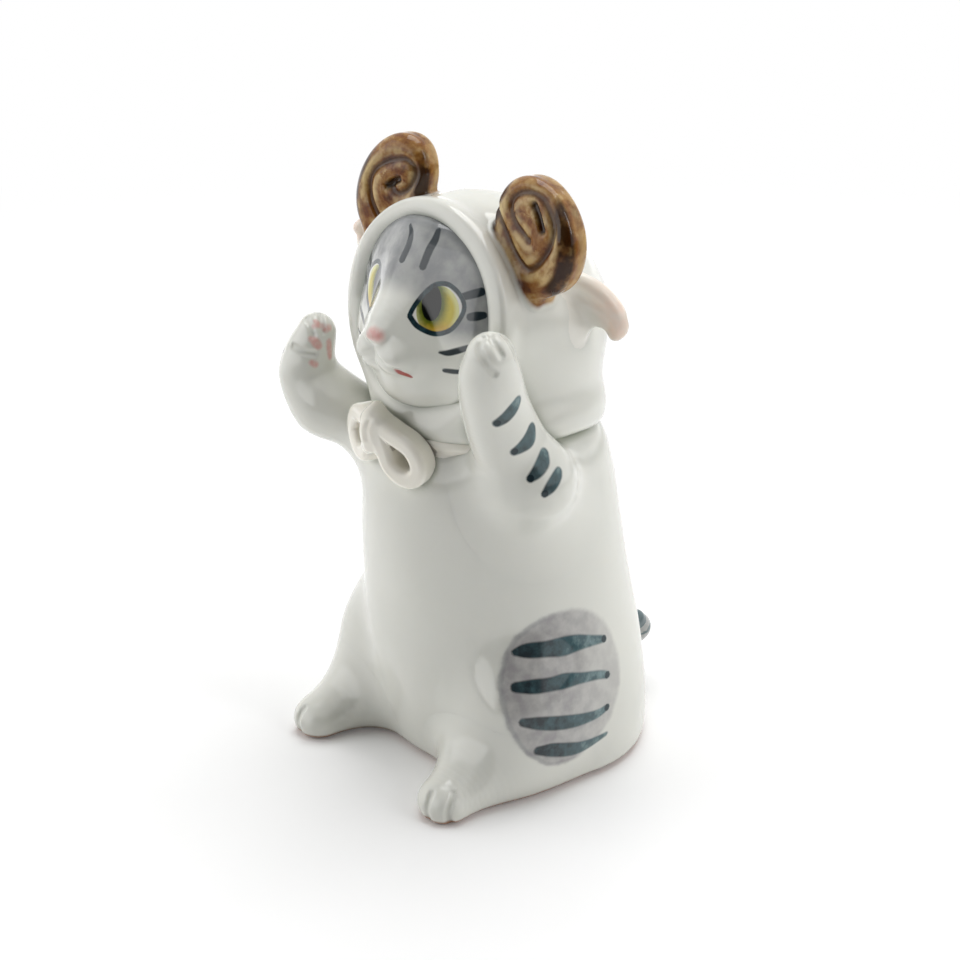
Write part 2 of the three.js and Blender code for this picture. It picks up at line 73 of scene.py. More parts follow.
def smoothLine(points, count):  # a smooth line through the points, and through any values listed with them
    rows = np.array(points, float)
    rows = np.vstack([2 * rows[0] - rows[1], rows, 2 * rows[-1] - rows[-2]])
    at = np.linspace(0, len(points) - 1, count)
    i = np.minimum(at.astype(int), len(points) - 2)
    t = (at - i)[:, None]
    a, b, c, d = rows[i], rows[i + 1], rows[i + 2], rows[i + 3]
    return 0.5 * (2 * b + (c - a) * t + (2 * a - 5 * b + 4 * c - d) * t * t + (3 * b - a - 3 * c + d) * t ** 3)


def lineDistance(p, line, closed=False):  # distance to a line less its half width there, and how far along it
    size = p.shape[1]
    ends = np.roll(line, -1, 0) if closed else line[1:]
    best = np.full(len(p), 1e3, p.dtype)
    along = np.zeros(len(p), p.dtype)
    for k in range(len(ends)):
        a, b = line[k].astype(p.dtype), ends[k].astype(p.dtype)
        way = b[:size] - a[:size]
        off = p - a[:size]
        t = np.clip(off @ way / max(float(way @ way), 1e-9), 0, 1)
        off = off - t[:, None] * way
        d = np.sqrt((off * off).sum(1))
        if len(a) > size:
            d = d - (a[size] + t * (b[size] - a[size]))
        closer = d < best
        best = np.where(closer, d, best)
        along = np.where(closer, (k + t) / len(ends), along)
    return best, along


def carve(f, p, line, depth, width):  # draws a soft tool mark along a line
    d, _ = lineDistance(p, np.asarray(line, float)[:, :p.shape[1]])
    return f + depth * np.exp(-((d / width) ** 2))


def slab(outline, thick, edge):  # an outline given thickness, its edges rounded
    a, b = outline + edge, thick + edge
    return np.hypot(np.maximum(a, 0), np.maximum(b, 0)) + np.minimum(np.maximum(a, b), 0) - edge


def pressed(form, line):  # a line laid on the surface of a form
    line = np.array(line, float)
    for _ in range(3):
        at = line[:, :3]
        line[:, :3] = at - form(at)[:, None] * slopeOf(form, at, 0.05)
    return line


def throughSections(rows):  # smooth values between listed sections, the first column being the place
    rows = np.array(rows, float)
    s = rows[:, 0]
    last = len(s) - 1
    low, high = np.maximum(np.arange(last + 1) - 1, 0), np.minimum(np.arange(last + 1) + 1, last)
    slope = (rows[high] - rows[low]) / (s[high] - s[low])[:, None]
    at = np.linspace(s[0], s[-1], 300)
    i = np.clip(np.searchsorted(s, at, side="right") - 1, 0, last - 1)
    span = (s[i + 1] - s[i])[:, None]
    t = (at - s[i])[:, None] / span
    made = ((2 * t ** 3 - 3 * t * t + 1) * rows[i] + (t ** 3 - 2 * t * t + t) * span * slope[i]
            + (3 * t * t - 2 * t ** 3) * rows[i + 1] + (t ** 3 - t * t) * span * slope[i + 1])
    return lambda place: [np.interp(place, at, made[:, c]).astype(place.dtype) for c in range(1, rows.shape[1])]


def ringDistance(u, v, wide, tall):  # distance from an upright oval outline, in its own plane
    near = np.sqrt((u / wide) ** 2 + (v / tall) ** 2)
    return near * (near - 1) / np.maximum(np.sqrt((u / wide ** 2) ** 2 + (v / tall ** 2) ** 2), 1e-6)


def slopeOf(form, p, reach):  # which way is outwards, by four samples
    corners = np.array([(1, -1, -1), (-1, -1, 1), (-1, 1, -1), (1, 1, 1)], float)
    return sum(form(p + c * reach)[:, None] * c for c in corners) / (4 * reach)


def shifted(count, o):  # the part of a grid that starts o further on
    return tuple(slice(k, n - 1 + k) for k, n in zip(o, count))


def crossways(axis):  # the two grid directions across an axis
    return np.eye(3, dtype=int)[(axis + 1) % 3], np.eye(3, dtype=int)[(axis + 2) % 3]


def untangle(value):  # where two corners of a grid square touch only across it, one of them gives way
    for turn in range(30):
        tangled = 0
        for axis in range(3):
            inside = value < 0
            u, v = crossways(axis)
            a, b, c, d = [inside[tuple(slice(o[k], inside.shape[k] - (u + v)[k] + o[k]) for k in range(3))]
                          for o in (0 * u, u, u + v, v)]
            for spot in np.argwhere((a == c) & (b == d) & (a != b)):
                corners = [tuple(spot + o) for o in (0 * u, u, u + v, v)]
                # mostly the corner nearest the surface; clay is added where that keeps coming back
                weakest = min(corners, key=lambda at: (
                    abs(value[at]) if turn < 6 else value[at] if value[at] >= 0 else 1e3))
                value[weakest] = -1e-4 if value[weakest] >= 0 else 1e-4
                tangled += 1
        if not tangled:
            return


def skinOf(form, low, high, step, smooth=None):
    # Finds where the form is zero inside a box, one vertex to a grid cell, and relaxes the net onto it
    step *= detail
    block = 6
    low = np.array(low, float) - 2 * step
    blocks = np.ceil((np.array(high, float) + 2 * step - low) / (step * block)).astype(int)
    count = blocks * block + 1
    value = np.empty(count, np.float32)
    spots = np.stack(np.meshgrid(*[np.arange(n) for n in blocks], indexing="ij"), -1).reshape(-1, 3)
    coarse = form((low + step * block * (spots + 0.5)).astype(np.float32)).reshape(blocks)
    for axis in range(3):
        coarse = np.repeat(coarse, block, axis)
    value[:] = np.pad(coarse, ((0, 1),) * 3, mode="edge")
    near = np.abs(coarse) < 1.35 * block * step
    wanted = np.zeros(count, bool)
    offsets = np.array([(dx, dy, dz) for dx in (0, 1) for dy in (0, 1) for dz in (0, 1)])
    for o in offsets:
        wanted[shifted(count, o)] |= near
    places = np.argwhere(wanted)
    found = [form((low + step * part).astype(np.float32))
             for part in np.array_split(places, len(places) // 300000 + 1)]
    value[wanted] = np.concatenate(found)
    untangle(value)
    inside = value < 0
    full = sum(inside[shifted(count, o)].astype(np.int8) for o in offsets)
    crossed = (full > 0) & (full < 8)
    index = np.full(crossed.shape, -1, np.int64)
    cells = np.argwhere(crossed)
    index[crossed] = np.arange(len(cells))
    total = np.zeros((len(cells), 3))
    hits = np.zeros(len(cells))
    for axis in range(3):
        for o in offsets[offsets[:, axis] == 0]:
            a, b = cells + o, cells + o + np.eye(3, dtype=int)[axis]
            va, vb = value[tuple(a.T)], value[tuple(b.T)]
            cut = (va < 0) != (vb < 0)
            t = np.where(cut, va / np.where(cut, va - vb, 1), 0)
            total += np.where(cut[:, None], o + np.eye(3)[axis] * t[:, None], 0)
            hits += cut
    verts = low + step * (cells + total / hits[:, None])
    quads = []
    for axis in range(3):
        u, v = crossways(axis)
        ahead = [slice(None)] * 3
        behind = [slice(None)] * 3
        ahead[axis], behind[axis] = slice(1, None), slice(None, -1)
        first, second = inside[tuple(behind)], inside[tuple(ahead)]
        edges = np.argwhere(first != second)
        edges = edges[((edges > 0) | (np.arange(3) == axis)).all(1)]
        quad = np.stack([index[tuple((edges - back).T)] for back in (u + v, v, 0 * u, u)], 1)
        leaving = first[tuple(edges.T)]
        quads.append(np.where(leaving[:, None], quad, quad[:, ::-1]))
    faces = np.concatenate(quads)
    faces = faces[(faces >= 0).all(1)]
    pairs = np.concatenate([faces[:, [0, 1]], faces[:, [1, 2]], faces[:, [2, 3]], faces[:, [3, 0]]])
    # keeps the largest connected skin
    label = np.arange(len(verts))
    while True:
        lower = label.copy()
        np.minimum.at(lower, pairs[:, 0], label[pairs[:, 1]])
        np.minimum.at(lower, pairs[:, 1], label[pairs[:, 0]])
        lower = lower[lower]
        if (lower == label).all():
            break
        label = lower
    keep = label == np.bincount(label).argmax()
    if not keep.all():
        renumber = np.cumsum(keep) - 1
        faces, pairs = (renumber[rows[keep[rows[:, 0]]]] for rows in (faces, pairs))
        verts = verts[keep]
    ends = np.concatenate([pairs, pairs[:, ::-1]])
    links = np.maximum(np.bincount(ends[:, 0], minlength=len(verts)), 1)
    for turn in range(4):
        if turn in (1, 2):
            middle = np.stack([np.bincount(ends[:, 0], verts[ends[:, 1], c], len(verts)) for c in range(3)], 1)
            verts = 0.4 * verts + 0.6 * middle / links[:, None]
        way = slopeOf(form, verts, 0.2 * step)
        move = -form(verts)[:, None] * way / np.maximum((way * way).sum(1), 0.05)[:, None]
        far = np.linalg.norm(move, axis=1, keepdims=True)
        verts = verts + move * np.minimum(1, 0.5 * step / np.maximum(far, 1e-9))
    normals = slopeOf(form, verts, 0.3 * step)
    if smooth is not None:  # on a skirt that lies on its host, the light follows the joined surface
        onTop = np.abs(smooth(verts)) < 0.08
        normals = np.where(onTop[:, None], slopeOf(smooth, verts, 0.3 * step), normals)
    return verts, faces, normals / np.linalg.norm(normals, axis=1, keepdims=True)


def seated(own, host, fillet, sunk=0.9):
    # A piece luted to its host: a skirt of slip runs out onto the host and vanishes there
    def joined(p):
        return softMin(own(p), host(p), fillet)

    def whole(p):
        mine, theirs = own(p), host(p)
        both = softMin(mine, theirs, fillet)
        return np.maximum(np.maximum(both, mine - 0.92 * fillet), -(theirs + sunk))

    return whole, joined


def handMarks(p):  # the slow unevenness of hand-finished clay
    x, y, z = p[:, 0], p[:, 1], p[:, 2]
    return 0.10 * np.sin(0.31 * x + 0.7) * np.sin(0.27 * z + 1.3) + 0.07 * np.sin(0.23 * y + 0.19 * z + 0.4)


def handed(side):  # +X is the cat's left
    return "left" if side > 0 else "right"


def mirroredPoints(p):
    q = p.copy()
    q[:, 0] = np.abs(q[:, 0])
    return q


def standing(f, p, edge=0.8):  # cut flat where it stands
    return softMax(f, -p[:, 2], edge)


# Costume body, thrown hollow: upright oval sections with two haunches pushed out
body = {
    "sections": [  # height, half width, half depth, setback of the middle
        (0, 22.7, 19.0, 5.6), (1.6, 23.7, 19.9, 5.5), (9, 23.5, 21.1, 4.8), (17, 22.6, 21.5, 3.8),
        (27, 20.6, 20.8, 2.6), (37, 19.4, 20.2, 1.6), (46, 18.2, 19.0, 0.9), (52, 16.6, 17.2, 0.4),
        (56.5, 11.5, 12.0, 0.2)],
    "haunch": (14.2, -5.5, 11.0),
    "haunchRadii": (9.2, 10.4, 13.8),
    "haunchFillet": 4.4,
    "footRing": 1.1,
    "ventSetback": 9.0,
    "ventRadius": 1.5,
    "ventDepth": 2.6,
    "step": 0.5,
}
bodyProfile = throughSections(body["sections"])


def bodyForm(p):
    x, y, z = p[:, 0], p[:, 1], p[:, 2]
    top = body["sections"][-1][0]
    wide, deep, back = bodyProfile(np.clip(z, 0, top))
    f = softMax(ringDistance(x, y - back, wide, deep), z - top, 3)
    for side in (-1, 1):
        cx, cy, cz = body["haunch"]
        f = softMin(f, oval(p, (side * cx, cy, cz), body["haunchRadii"]), body["haunchFillet"])
    return f + handMarks(p)


def bodyCut(f, p):  # the foot ring and the kiln vent
    vent = np.hypot(p[:, 0], p[:, 1] - body["ventSetback"]) - body["ventRadius"]
    return softMax(standing(f, p, body["footRing"]), -np.maximum(vent, p[:, 2] - body["ventDepth"]), 0.3)


# Hood: a dome round the face, a rolled rim and a collar that hangs over the shoulders
faceZ = 71.4  # middle of the face opening
hood = {
    "middleY": -1.0,
    "reachFront": 27.0,
    "reachBack": 19.0,
    "halfWidth": 17.3,
    "halfHeight": 16.0,
    "wall": 1.9,
    "rimY": -11.1,
    "rimLean": 0.13,
    "rimHalf": (15.45, 14.75),
    "rimRadius": 1.0,
    "rimFillet": 2.8,
    "collar": [  # height, half width, front reach, back reach
        (52.6, 15.9, 14.9, 16.4), (53.8, 16.9, 15.8, 17.4), (55.4, 17.7, 15.9, 18.1), (57.5, 17.9, 14.9, 18.3),
        (61.5, 17.1, 12.8, 17.5), (66.0, 16.6, 11.0, 17.0), (70.0, 15.6, 8.0, 15.8)],
    "hemHeight": 53.2,
    "collarTop": 72,
    "hemLean": 0.09,
    "hemRound": 2.4,
    "hemLift": 1.0,  # how much higher it rides over each front leg
    "collarFillet": 4.0,
    "step": 0.45,
}
collarProfile = throughSections(hood["collar"])


def rimPlane(p):  # in front of the rim's middle line is negative
    return p[:, 1] - hood["rimY"] - hood["rimLean"] * (p[:, 2] - faceZ)


def domeForm(p):
    x, y, z = p[:, 0], p[:, 1] - hood["middleY"], p[:, 2] - faceZ
    lift = np.interp(y, [0, 5, 10, 18], [0, -0.5, -1.3, -2.2]).astype(p.dtype)
    deep = np.where(y < 0, hood["reachFront"], hood["reachBack"]).astype(p.dtype)
    radii = np.stack([np.full_like(deep, hood["halfWidth"]), deep, np.full_like(deep, hood["halfHeight"])], 1)
    return eggDistance(np.stack([x, y, z - lift], 1), radii)


def collarForm(p):
    x, y, z = p[:, 0], p[:, 1], p[:, 2]
    lift = hood["hemLift"] * np.exp(-(((y - 2) / 7) ** 2)) * np.clip(np.abs(x) / 10 - 0.5, 0, 1)
    high = z + (hood["hemLean"] * y - lift) * np.clip((70 - z) / 16, 0, 1)
    wide, front, back = collarProfile(np.clip(high, 52.6, 70))
    side = ringDistance(x, y, wide, np.where(y < 0, front, back))
    return softMax(softMax(side, hood["hemHeight"] - high, hood["hemRound"]), high - hood["collarTop"], 3)


def hoodForm(p):  # the outside
    f = softMax(domeForm(p), -rimPlane(p), 0.6)
    x, z = p[:, 0], p[:, 2] - faceZ
    roll = np.hypot(ringDistance(x, z, *hood["rimHalf"]), rimPlane(p)) - hood["rimRadius"]
    f = softMin(f, roll, hood["rimFillet"])
    return softMin(f, collarForm(p), hood["collarFillet"]) + 0.6 * handMarks(p)


def hoodPiece(p):
    f = hoodForm(p)
    f = softMax(f, -(domeForm(p) + hood["wall"] + 0.9), 0.5)  # pressed onto the face all round
    return np.maximum(f, -(bodyForm(p) + 1.2))


# Cat's face inside the hood
face = {
    "centre": (0, 0, 70.6),
    "radii": (19.4, 16.0, 19.4),
    "bridge": [(0, -9.2, 82, 1.6), (0, -12.4, 78.0, 2.0), (0, -15.2, 74.5, 2.1), (0, -18.2, 71.9, 1.7)],
    "bridgeFillet": 6.0,
    "muzzle": (0, -14.6, 67.6),
    "muzzleRadii": (6.8, 5.2, 5.4),
    "muzzleFillet": 4,
    "pad": (2.3, -18.5, 67.6),
    "padRadii": (2.9, 2.5, 2.5),
    "padFillet": 1.0,
    "chin": (0, -14.4, 62.4),
    "chinRadii": (4.8, 3.2, 3.2),
    "chinFillet": 2.5,
    "nose": (0, -19.9, 70.6),
    "noseRadii": (1.9, 1.5, 1.2),
    "noseFillet": 0.9,
    "cheek": (8.2, -8.6, 65.0),
    "cheekRadii": (6.4, 5.2, 6.4),
    "cheekFillet": 5,
    "mouth": [(-0.2, -21.2, 69.4), (-0.1, -20.8, 67.9), (1.5, -20.9, 67.2), (2.9, -20.8, 66.6), (4.2, -19.7, 66.1)],
    "mouthDepth": 0.62,
    "mouthWidth": 0.42,
    "stem": (1.5, 12, 55.4, 68),  # setback, radius, lower and upper end
    "step": 0.36,
}


def faceForm(p):
    mirrored = mirroredPoints(p)

    def lump(name, q=p):
        return oval(q, face[name], face[name + "Radii"])

    f = softMin(oval(p, face["centre"], face["radii"]), lump("cheek", mirrored), face["cheekFillet"])
    f = softMin(f, lineDistance(p, smoothLine(face["bridge"], 16))[0], face["bridgeFillet"])
    f = softMin(f, softMin(lump("muzzle"), lump("chin"), face["chinFillet"]), face["muzzleFillet"])
    f = softMin(f, lump("pad", mirrored), face["padFillet"])
    f = softMin(f, lump("nose"), face["noseFillet"])
    return carve(f, mirrored, smoothLine(face["mouth"], 16), face["mouthDepth"], face["mouthWidth"])


def headPiece(p):
    f = softMax(faceForm(p), domeForm(p) + hood["wall"] - 0.8, 0.4)
    setback, radius, low, high = face["stem"]
    stem = np.maximum(np.hypot(p[:, 0], p[:, 1] - setback) - radius, p[:, 2] - high)
    return np.minimum(f, np.maximum(stem, low - p[:, 2]))


# Ram horns: a flat coil of clay with its turns marked by a soft groove
horn = {
    "halfThick": 3.0,
    "edge": 2.2,
    "left": {
        "centre": (15.7, -4.4, 85.1), "splay": 4, "swing": 0, "lean": 28,
        "disc": (0.2, -0.4, 7.25, 8.25),  # middle and half sizes of the round part
        "tip": (0.6, -9.0, 0.8),
        "groove": [  # across and up, from the middle of the coil outwards
            (0.8, -0.4), (-0.3, 0.3), (-1.5, 1.0), (-2.5, 2.0), (-3.0, 3.2), (-2.7, 4.4), (-1.3, 5.5), (0.6, 5.9),
            (2.5, 5.4), (4.0, 4.0), (4.9, 2.2), (4.7, 0.0), (3.4, -2.4), (1.9, -3.9), (0.4, -4.2), (-1.6, -2.8),
            (-3.6, -0.6), (-5.6, 1.6), (-7.2, 3.4)],
        "slot": [(1.3, 4.5), (2.1, 3.5), (3.1, 1.6)]},
    "right": {
        "centre": (-13.8, -4.4, 85.5), "splay": -14, "swing": 10, "lean": 21,
        "disc": (0.4, 0.76, 5.95, 8.8),
        "tip": (3.0, -7.6, 0.8),
        "groove": [
            (-0.6, 2.0), (-1.2, 1.1), (-2.3, 1.0), (-3.6, 2.2), (-4.2, 4.1), (-3.8, 5.6), (-2.1, 6.2), (0.6, 4.8),
            (2.9, 2.4), (3.2, -0.4), (1.4, -3.2), (-1.2, -4.9)],
        "slot": [(-1.7, 2.9), (-0.8, 2.1), (-0.1, 1.4)]},
    "grooveDepth": 0.55,
    "grooveWidth": 0.62,
    "slotDepth": 0.7,
    "slotWidth": 0.55,
    "sideGroove": 0.22,
    "fillet": 1.4,
    "step": 0.3,
}


def hornFrame(side):
    stand = horn[handed(side)]
    a, b = math.radians(stand["swing"]), math.radians(side * stand["splay"])
    swing = np.array([(math.cos(a), -math.sin(a), 0), (math.sin(a), math.cos(a), 0), (0, 0, 1)])
    splay = np.array([(math.cos(b), 0, math.sin(b)), (0, 1, 0), (-math.sin(b), 0, math.cos(b))])
    return np.array(stand["centre"], float), swing @ splay


def hornLocal(p, side):  # outward, front to back, up
    centre, turn = hornFrame(side)
    q = (p - centre.astype(p.dtype)) @ turn.astype(p.dtype)
    q[:, 0] *= side
    return q


for made in (horn["left"], horn["right"]):
    made["line"] = smoothLine(made["groove"], 80)
    made["slotLine"] = smoothLine(made["slot"], 8)


def hornDisc(flat, made):  # the round part, whose long way leans in its own plane
    cx, cz, wide, tall = made["disc"]
    lean = math.radians(made["lean"])
    u, w = flat[:, 0] - cx, flat[:, 1] - cz
    return ringDistance(u * math.cos(lean) + w * math.sin(lean), w * math.cos(lean) - u * math.sin(lean), wide, tall)


def hornForm(p, side):
    made = horn[handed(side)]
    q = hornLocal(p, side)
    v, flat = q[:, 1], q[:, [0, 2]]
    outline = hornDisc(flat, made)
    cx, cz = made["disc"][:2]
    tip = lineDistance(flat, np.array([(cx, cz - 2, 4.4), made["tip"]]))[0]
    outline = softMin(outline, tip, 2.5)
    crown = horn["halfThick"] - 0.5 * np.clip(1 + outline / 8, 0, 1) ** 2
    f = slab(outline, np.abs(v) - crown, horn["edge"])
    sides = np.clip(np.abs(v) / 2, 0, 1)
    for mark, depth, width in (("line", "grooveDepth", "grooveWidth"), ("slotLine", "slotDepth", "slotWidth")):
        f = f + horn[depth] * sides * np.exp(-((lineDistance(flat, made[mark])[0] / horn[width]) ** 2))
    return f + horn["sideGroove"] * np.exp(-((v - 0.2) / 0.9) ** 2) * np.clip(1 + outline / 2, 0, 1)


# Sheep's ears: a leaf of clay rolled along its upper edge and pressed hollow below
ear = {
    "left": {
        "line": [(14.6, 1.2, 75.2, 2.4), (17.4, 2.9, 73.9, 2.9), (19.3, 4.2, 72.3, 2.9), (20.6, 5.1, 71.0, 2.1)],
        "roll": [(14.2, 0.4, 78.2, 1.3), (17.0, 2.2, 77.3, 1.4), (19.3, 3.8, 75.7, 1.45), (20.9, 5.0, 73.4, 1.4),
                 (21.4, 5.4, 71.4, 1.2)],
        "cup": [(15.2, 0.0, 74.2), (17.0, 1.4, 73.3), (18.6, 2.6, 72.1), (19.8, 3.6, 70.8)],
        "facing": (0.50, -0.82, 0.26)},
    "right": {
        "line": [(-14.8, 1.4, 77.4, 2.2), (-18.6, 0.6, 77.2, 2.8), (-22.8, -0.6, 76.4, 2.9),
                 (-25.6, -1.4, 75.6, 2.2)],
        "roll": [(-15.0, 0.2, 80.0, 1.2), (-18.8, -0.2, 80.2, 1.3), (-23.2, -1.2, 79.2, 1.35),
                 (-26.2, -1.9, 77.0, 1.2)],
        "cup": [(-17.0, -1.4, 76.8), (-20.2, -2.0, 76.4), (-23.8, -2.8, 75.8)],
        "facing": (-0.25, -0.92, 0.30)},
    "stretch": 1.9,
    "thin": 1.35,
    "rollFillet": 0.9,
    "cupDepth": 1.3,
    "cupWidth": 1.7,
    "fillet": 2.2,
    "step": 0.3,
}


def earForm(p, side):
    made = ear[handed(side)]
    line = smoothLine(made["line"], 24)
    facing = np.array(made["facing"])
    facing = facing / np.linalg.norm(facing)
    # the leaf is a row of flattened beads, so distance counts more along the way that it faces
    squeeze = np.eye(3) + (ear["stretch"] - 1) * np.outer(facing, facing)
    flat = line.copy()
    flat[:, :3] = line[:, :3] @ squeeze
    leaf = lineDistance(p @ squeeze.astype(p.dtype), flat)[0] / ear["thin"]
    f = softMin(leaf, lineDistance(p, smoothLine(made["roll"], 24))[0], ear["rollFillet"])
    return carve(f, p, smoothLine(made["cup"], 12), ear["cupDepth"], ear["cupWidth"])


# Raised front legs: a thick upper part, a tapering forearm and a paw with marked toes
leg = {
    "left": {
        "upper": [(12, -2.5, 42.6, 6.2), (16.6, -6.4, 50.0, 5.9)],
        "fore": [(16.6, -6.4, 50.0, 6.0), (15.6, -9.2, 55.7, 5.3), (16.1, -12.4, 62.0, 4.75),
                 (17.5, -14.8, 67.4, 4.3), (18.9, -16.0, 71.3, 3.3)]},
    "right": {
        "upper": [(-9, -9, 49.6, 5.3), (-18.6, -15.2, 54.2, 4.9)],
        "fore": [(-18.6, -15.2, 54.2, 4.9), (-20.9, -16.4, 57.6, 4.6), (-20.7, -16.6, 61.0, 3.9),
                 (-19.9, -15.6, 64.9, 2.9)]},
    "elbowFillet": 2.5,
    "fillet": 5.5,
    "toeDepth": 0.75,
    "toeWidth": 0.38,
    "step": 0.34,
}
toeMarks = {
    "left": [
        [(19.0, -17.6, 74.6), (19.3, -18.5, 73.4), (20.2, -18.8, 72.5), (21.1, -18.5, 71.4), (21.5, -17.7, 70.1)],
        [(19.3, -16.4, 74.7), (19.9, -16.9, 74.3), (21.3, -17.0, 73.3), (21.9, -16.8, 72.4)],
        [(20.0, -14.7, 74.0), (20.7, -14.6, 73.7), (21.4, -14.4, 72.8), (21.5, -13.9, 71.4)]],
    "right": [
        [(-20.2, -17.2, 67.3), (-18.7, -17.6, 66.6), (-17.9, -17.7, 65.4)],
        [(-19.6, -15.0, 67.9), (-18.2, -15.9, 67.1), (-17.3, -16.4, 65.8)],
        [(-20.3, -19.7, 63.5), (-18.5, -19.3, 63.0), (-17.3, -18.1, 62.7)]],
}


def legForm(p, side):
    made = leg[handed(side)]
    upper = lineDistance(p, smoothLine(made["upper"], 6))[0]
    fore = lineDistance(p, smoothLine(made["fore"], 40))[0]
    f = softMin(upper, fore, leg["elbowFillet"])
    for mark in made.get("grooves", []):
        f = carve(f, p, mark, leg["toeDepth"], leg["toeWidth"])
    return f


for word, side in (("left", 1), ("right", -1)):
    leg[word]["grooves"] = [pressed(lambda p: legForm(p, side), smoothLine(mark, 12)) for mark in toeMarks[word]]


# Hind feet: low pads that run out of the body, each with three toes
hindFoot = {
    "sole": [(13.6, -5.0, 5.0, 6.2), (14.8, -12.8, 3.8, 5.4), (15.5, -21.0, 2.3, 4.2)],
    "stance": {"left": -0.7, "right": 0.5},  # how much further out each foot stands
    "squash": 1.15,
    "toes": [  # grooves over the front edge, between three toes
        [(15.8, -24.6, 0.4), (16.0, -25.2, 2.2), (15.9, -24.7, 3.8), (15.7, -23.9, 4.8)],
        [(18.6, -22.6, 0.4), (18.8, -23.6, 2.2), (18.6, -22.9, 3.9), (18.3, -21.9, 5.0)]],
    "toeDepth": 0.75,
    "toeWidth": 0.4,
    "fillet": 7.0,
    "step": 0.42,
}


def footForm(p, side):
    q = p.copy()
    q[:, 0] = side * q[:, 0] - hindFoot["stance"][handed(side)]
    line = np.array(hindFoot["sole"], float)
    squashed = q.copy()
    squashed[:, 2] *= hindFoot["squash"]
    line[:, 2] *= hindFoot["squash"]
    f = lineDistance(squashed, smoothLine(line, 20))[0]
    for mark in hindFoot["toes"]:
        f = carve(f, q, smoothLine(mark, 10), hindFoot["toeDepth"], hindFoot["toeWidth"])
    return f


# Ribbon round the neck and its bow
ribbon = {
    "height": 54.3,
    "radius": 1.25,
    "ends": (-135.0, -18.0),  # degrees round the neck, under the front legs
    "fillet": 0.9,
    "step": 0.32,
}
bow = {
    "knot": (-0.8, -19.2, 57.2),
    "wrap": [(-1.7, -18.9, 58.9, 1.1), (-1.4, -20.0, 57.9, 1.4), (-1.6, -20.5, 55.8, 1.35),
             (-1.5, -20.3, 53.6, 1.05)],
    "pleat": [(-0.4, -20.4, 58.4), (-0.7, -21.6, 57.0), (-0.8, -21.6, 55.2)],
    "pleatDepth": 0.35,
    "pleatWidth": 0.4,
    "knotFillet": 1.2,
    "left": {"length": 10.8, "height": 7.4, "droop": 47.0},
    "right": {"length": 10.0, "height": 8.5, "droop": 34.0},
    "band": 1.36,
    "halfDepth": 2.0,
    "turnBack": 18.0,
    "corner": 1.0,
    "step": 0.26,
}


def ribbonForm(p):
    wide, deep, _ = bodyProfile(np.array([ribbon["height"]]))
    turns = np.radians(np.linspace(*ribbon["ends"], 40))
    grown = 0.55 * ribbon["radius"]
    line = np.stack([(wide[0] + grown) * np.cos(turns), 0.4 + (deep[0] + grown) * np.sin(turns),
                     np.full(40, ribbon["height"]), np.full(40, ribbon["radius"])], 1)
    return lineDistance(p, line)[0]


def loopForm(p, side):
    made = bow[handed(side)]
    droop, back = math.radians(made["droop"]), math.radians(bow["turnBack"])
    level = np.array([side * math.cos(back), math.sin(back), 0])
    out = math.cos(droop) * level - math.sin(droop) * np.array([0, 0, 1])
    up = math.sin(droop) * level + math.cos(droop) * np.array([0, 0, 1])
    through = np.cross(level, [0, 0, 1])
    q = (p - np.array(bow["knot"], p.dtype)) @ np.stack([out, up, through], 1).astype(p.dtype)
    far, half = made["length"] - bow["band"], made["height"] / 2 - bow["band"]
    upper = [(0.4, 0.2), (far * 0.3, half * 0.5), (far * 0.62, half), (far * 0.9, half * 0.74)]
    outline = smoothLine(upper + [(far, 0)] + [(along, -high) for along, high in upper[::-1]], 60)
    return slab(lineDistance(q[:, :2], outline, closed=True)[0] - bow["band"], np.abs(q[:, 2]) - bow["halfDepth"],
                bow["corner"])


def knotForm(p):
    f = lineDistance(p, smoothLine(bow["wrap"], 16))[0]
    return carve(f, p, smoothLine(bow["pleat"], 8), bow["pleatDepth"], bow["pleatWidth"])


# Tail curled up the back
tail = {
    "line": [(0, 23.5, 4.0, 2.6), (3.2, 28.2, 6.0, 2.4), (7.6, 28.0, 10.0, 2.0), (9.0, 25.6, 13.2, 1.5)],
    "fillet": 2.4,
    "step": 0.36,
}


def tailForm(p):
    return lineDistance(p, smoothLine(tail["line"], 30))[0]


print("forms ready")


# Underglaze painting: a stroke is a row of points with half widths, from where the brush landed to where it lifted

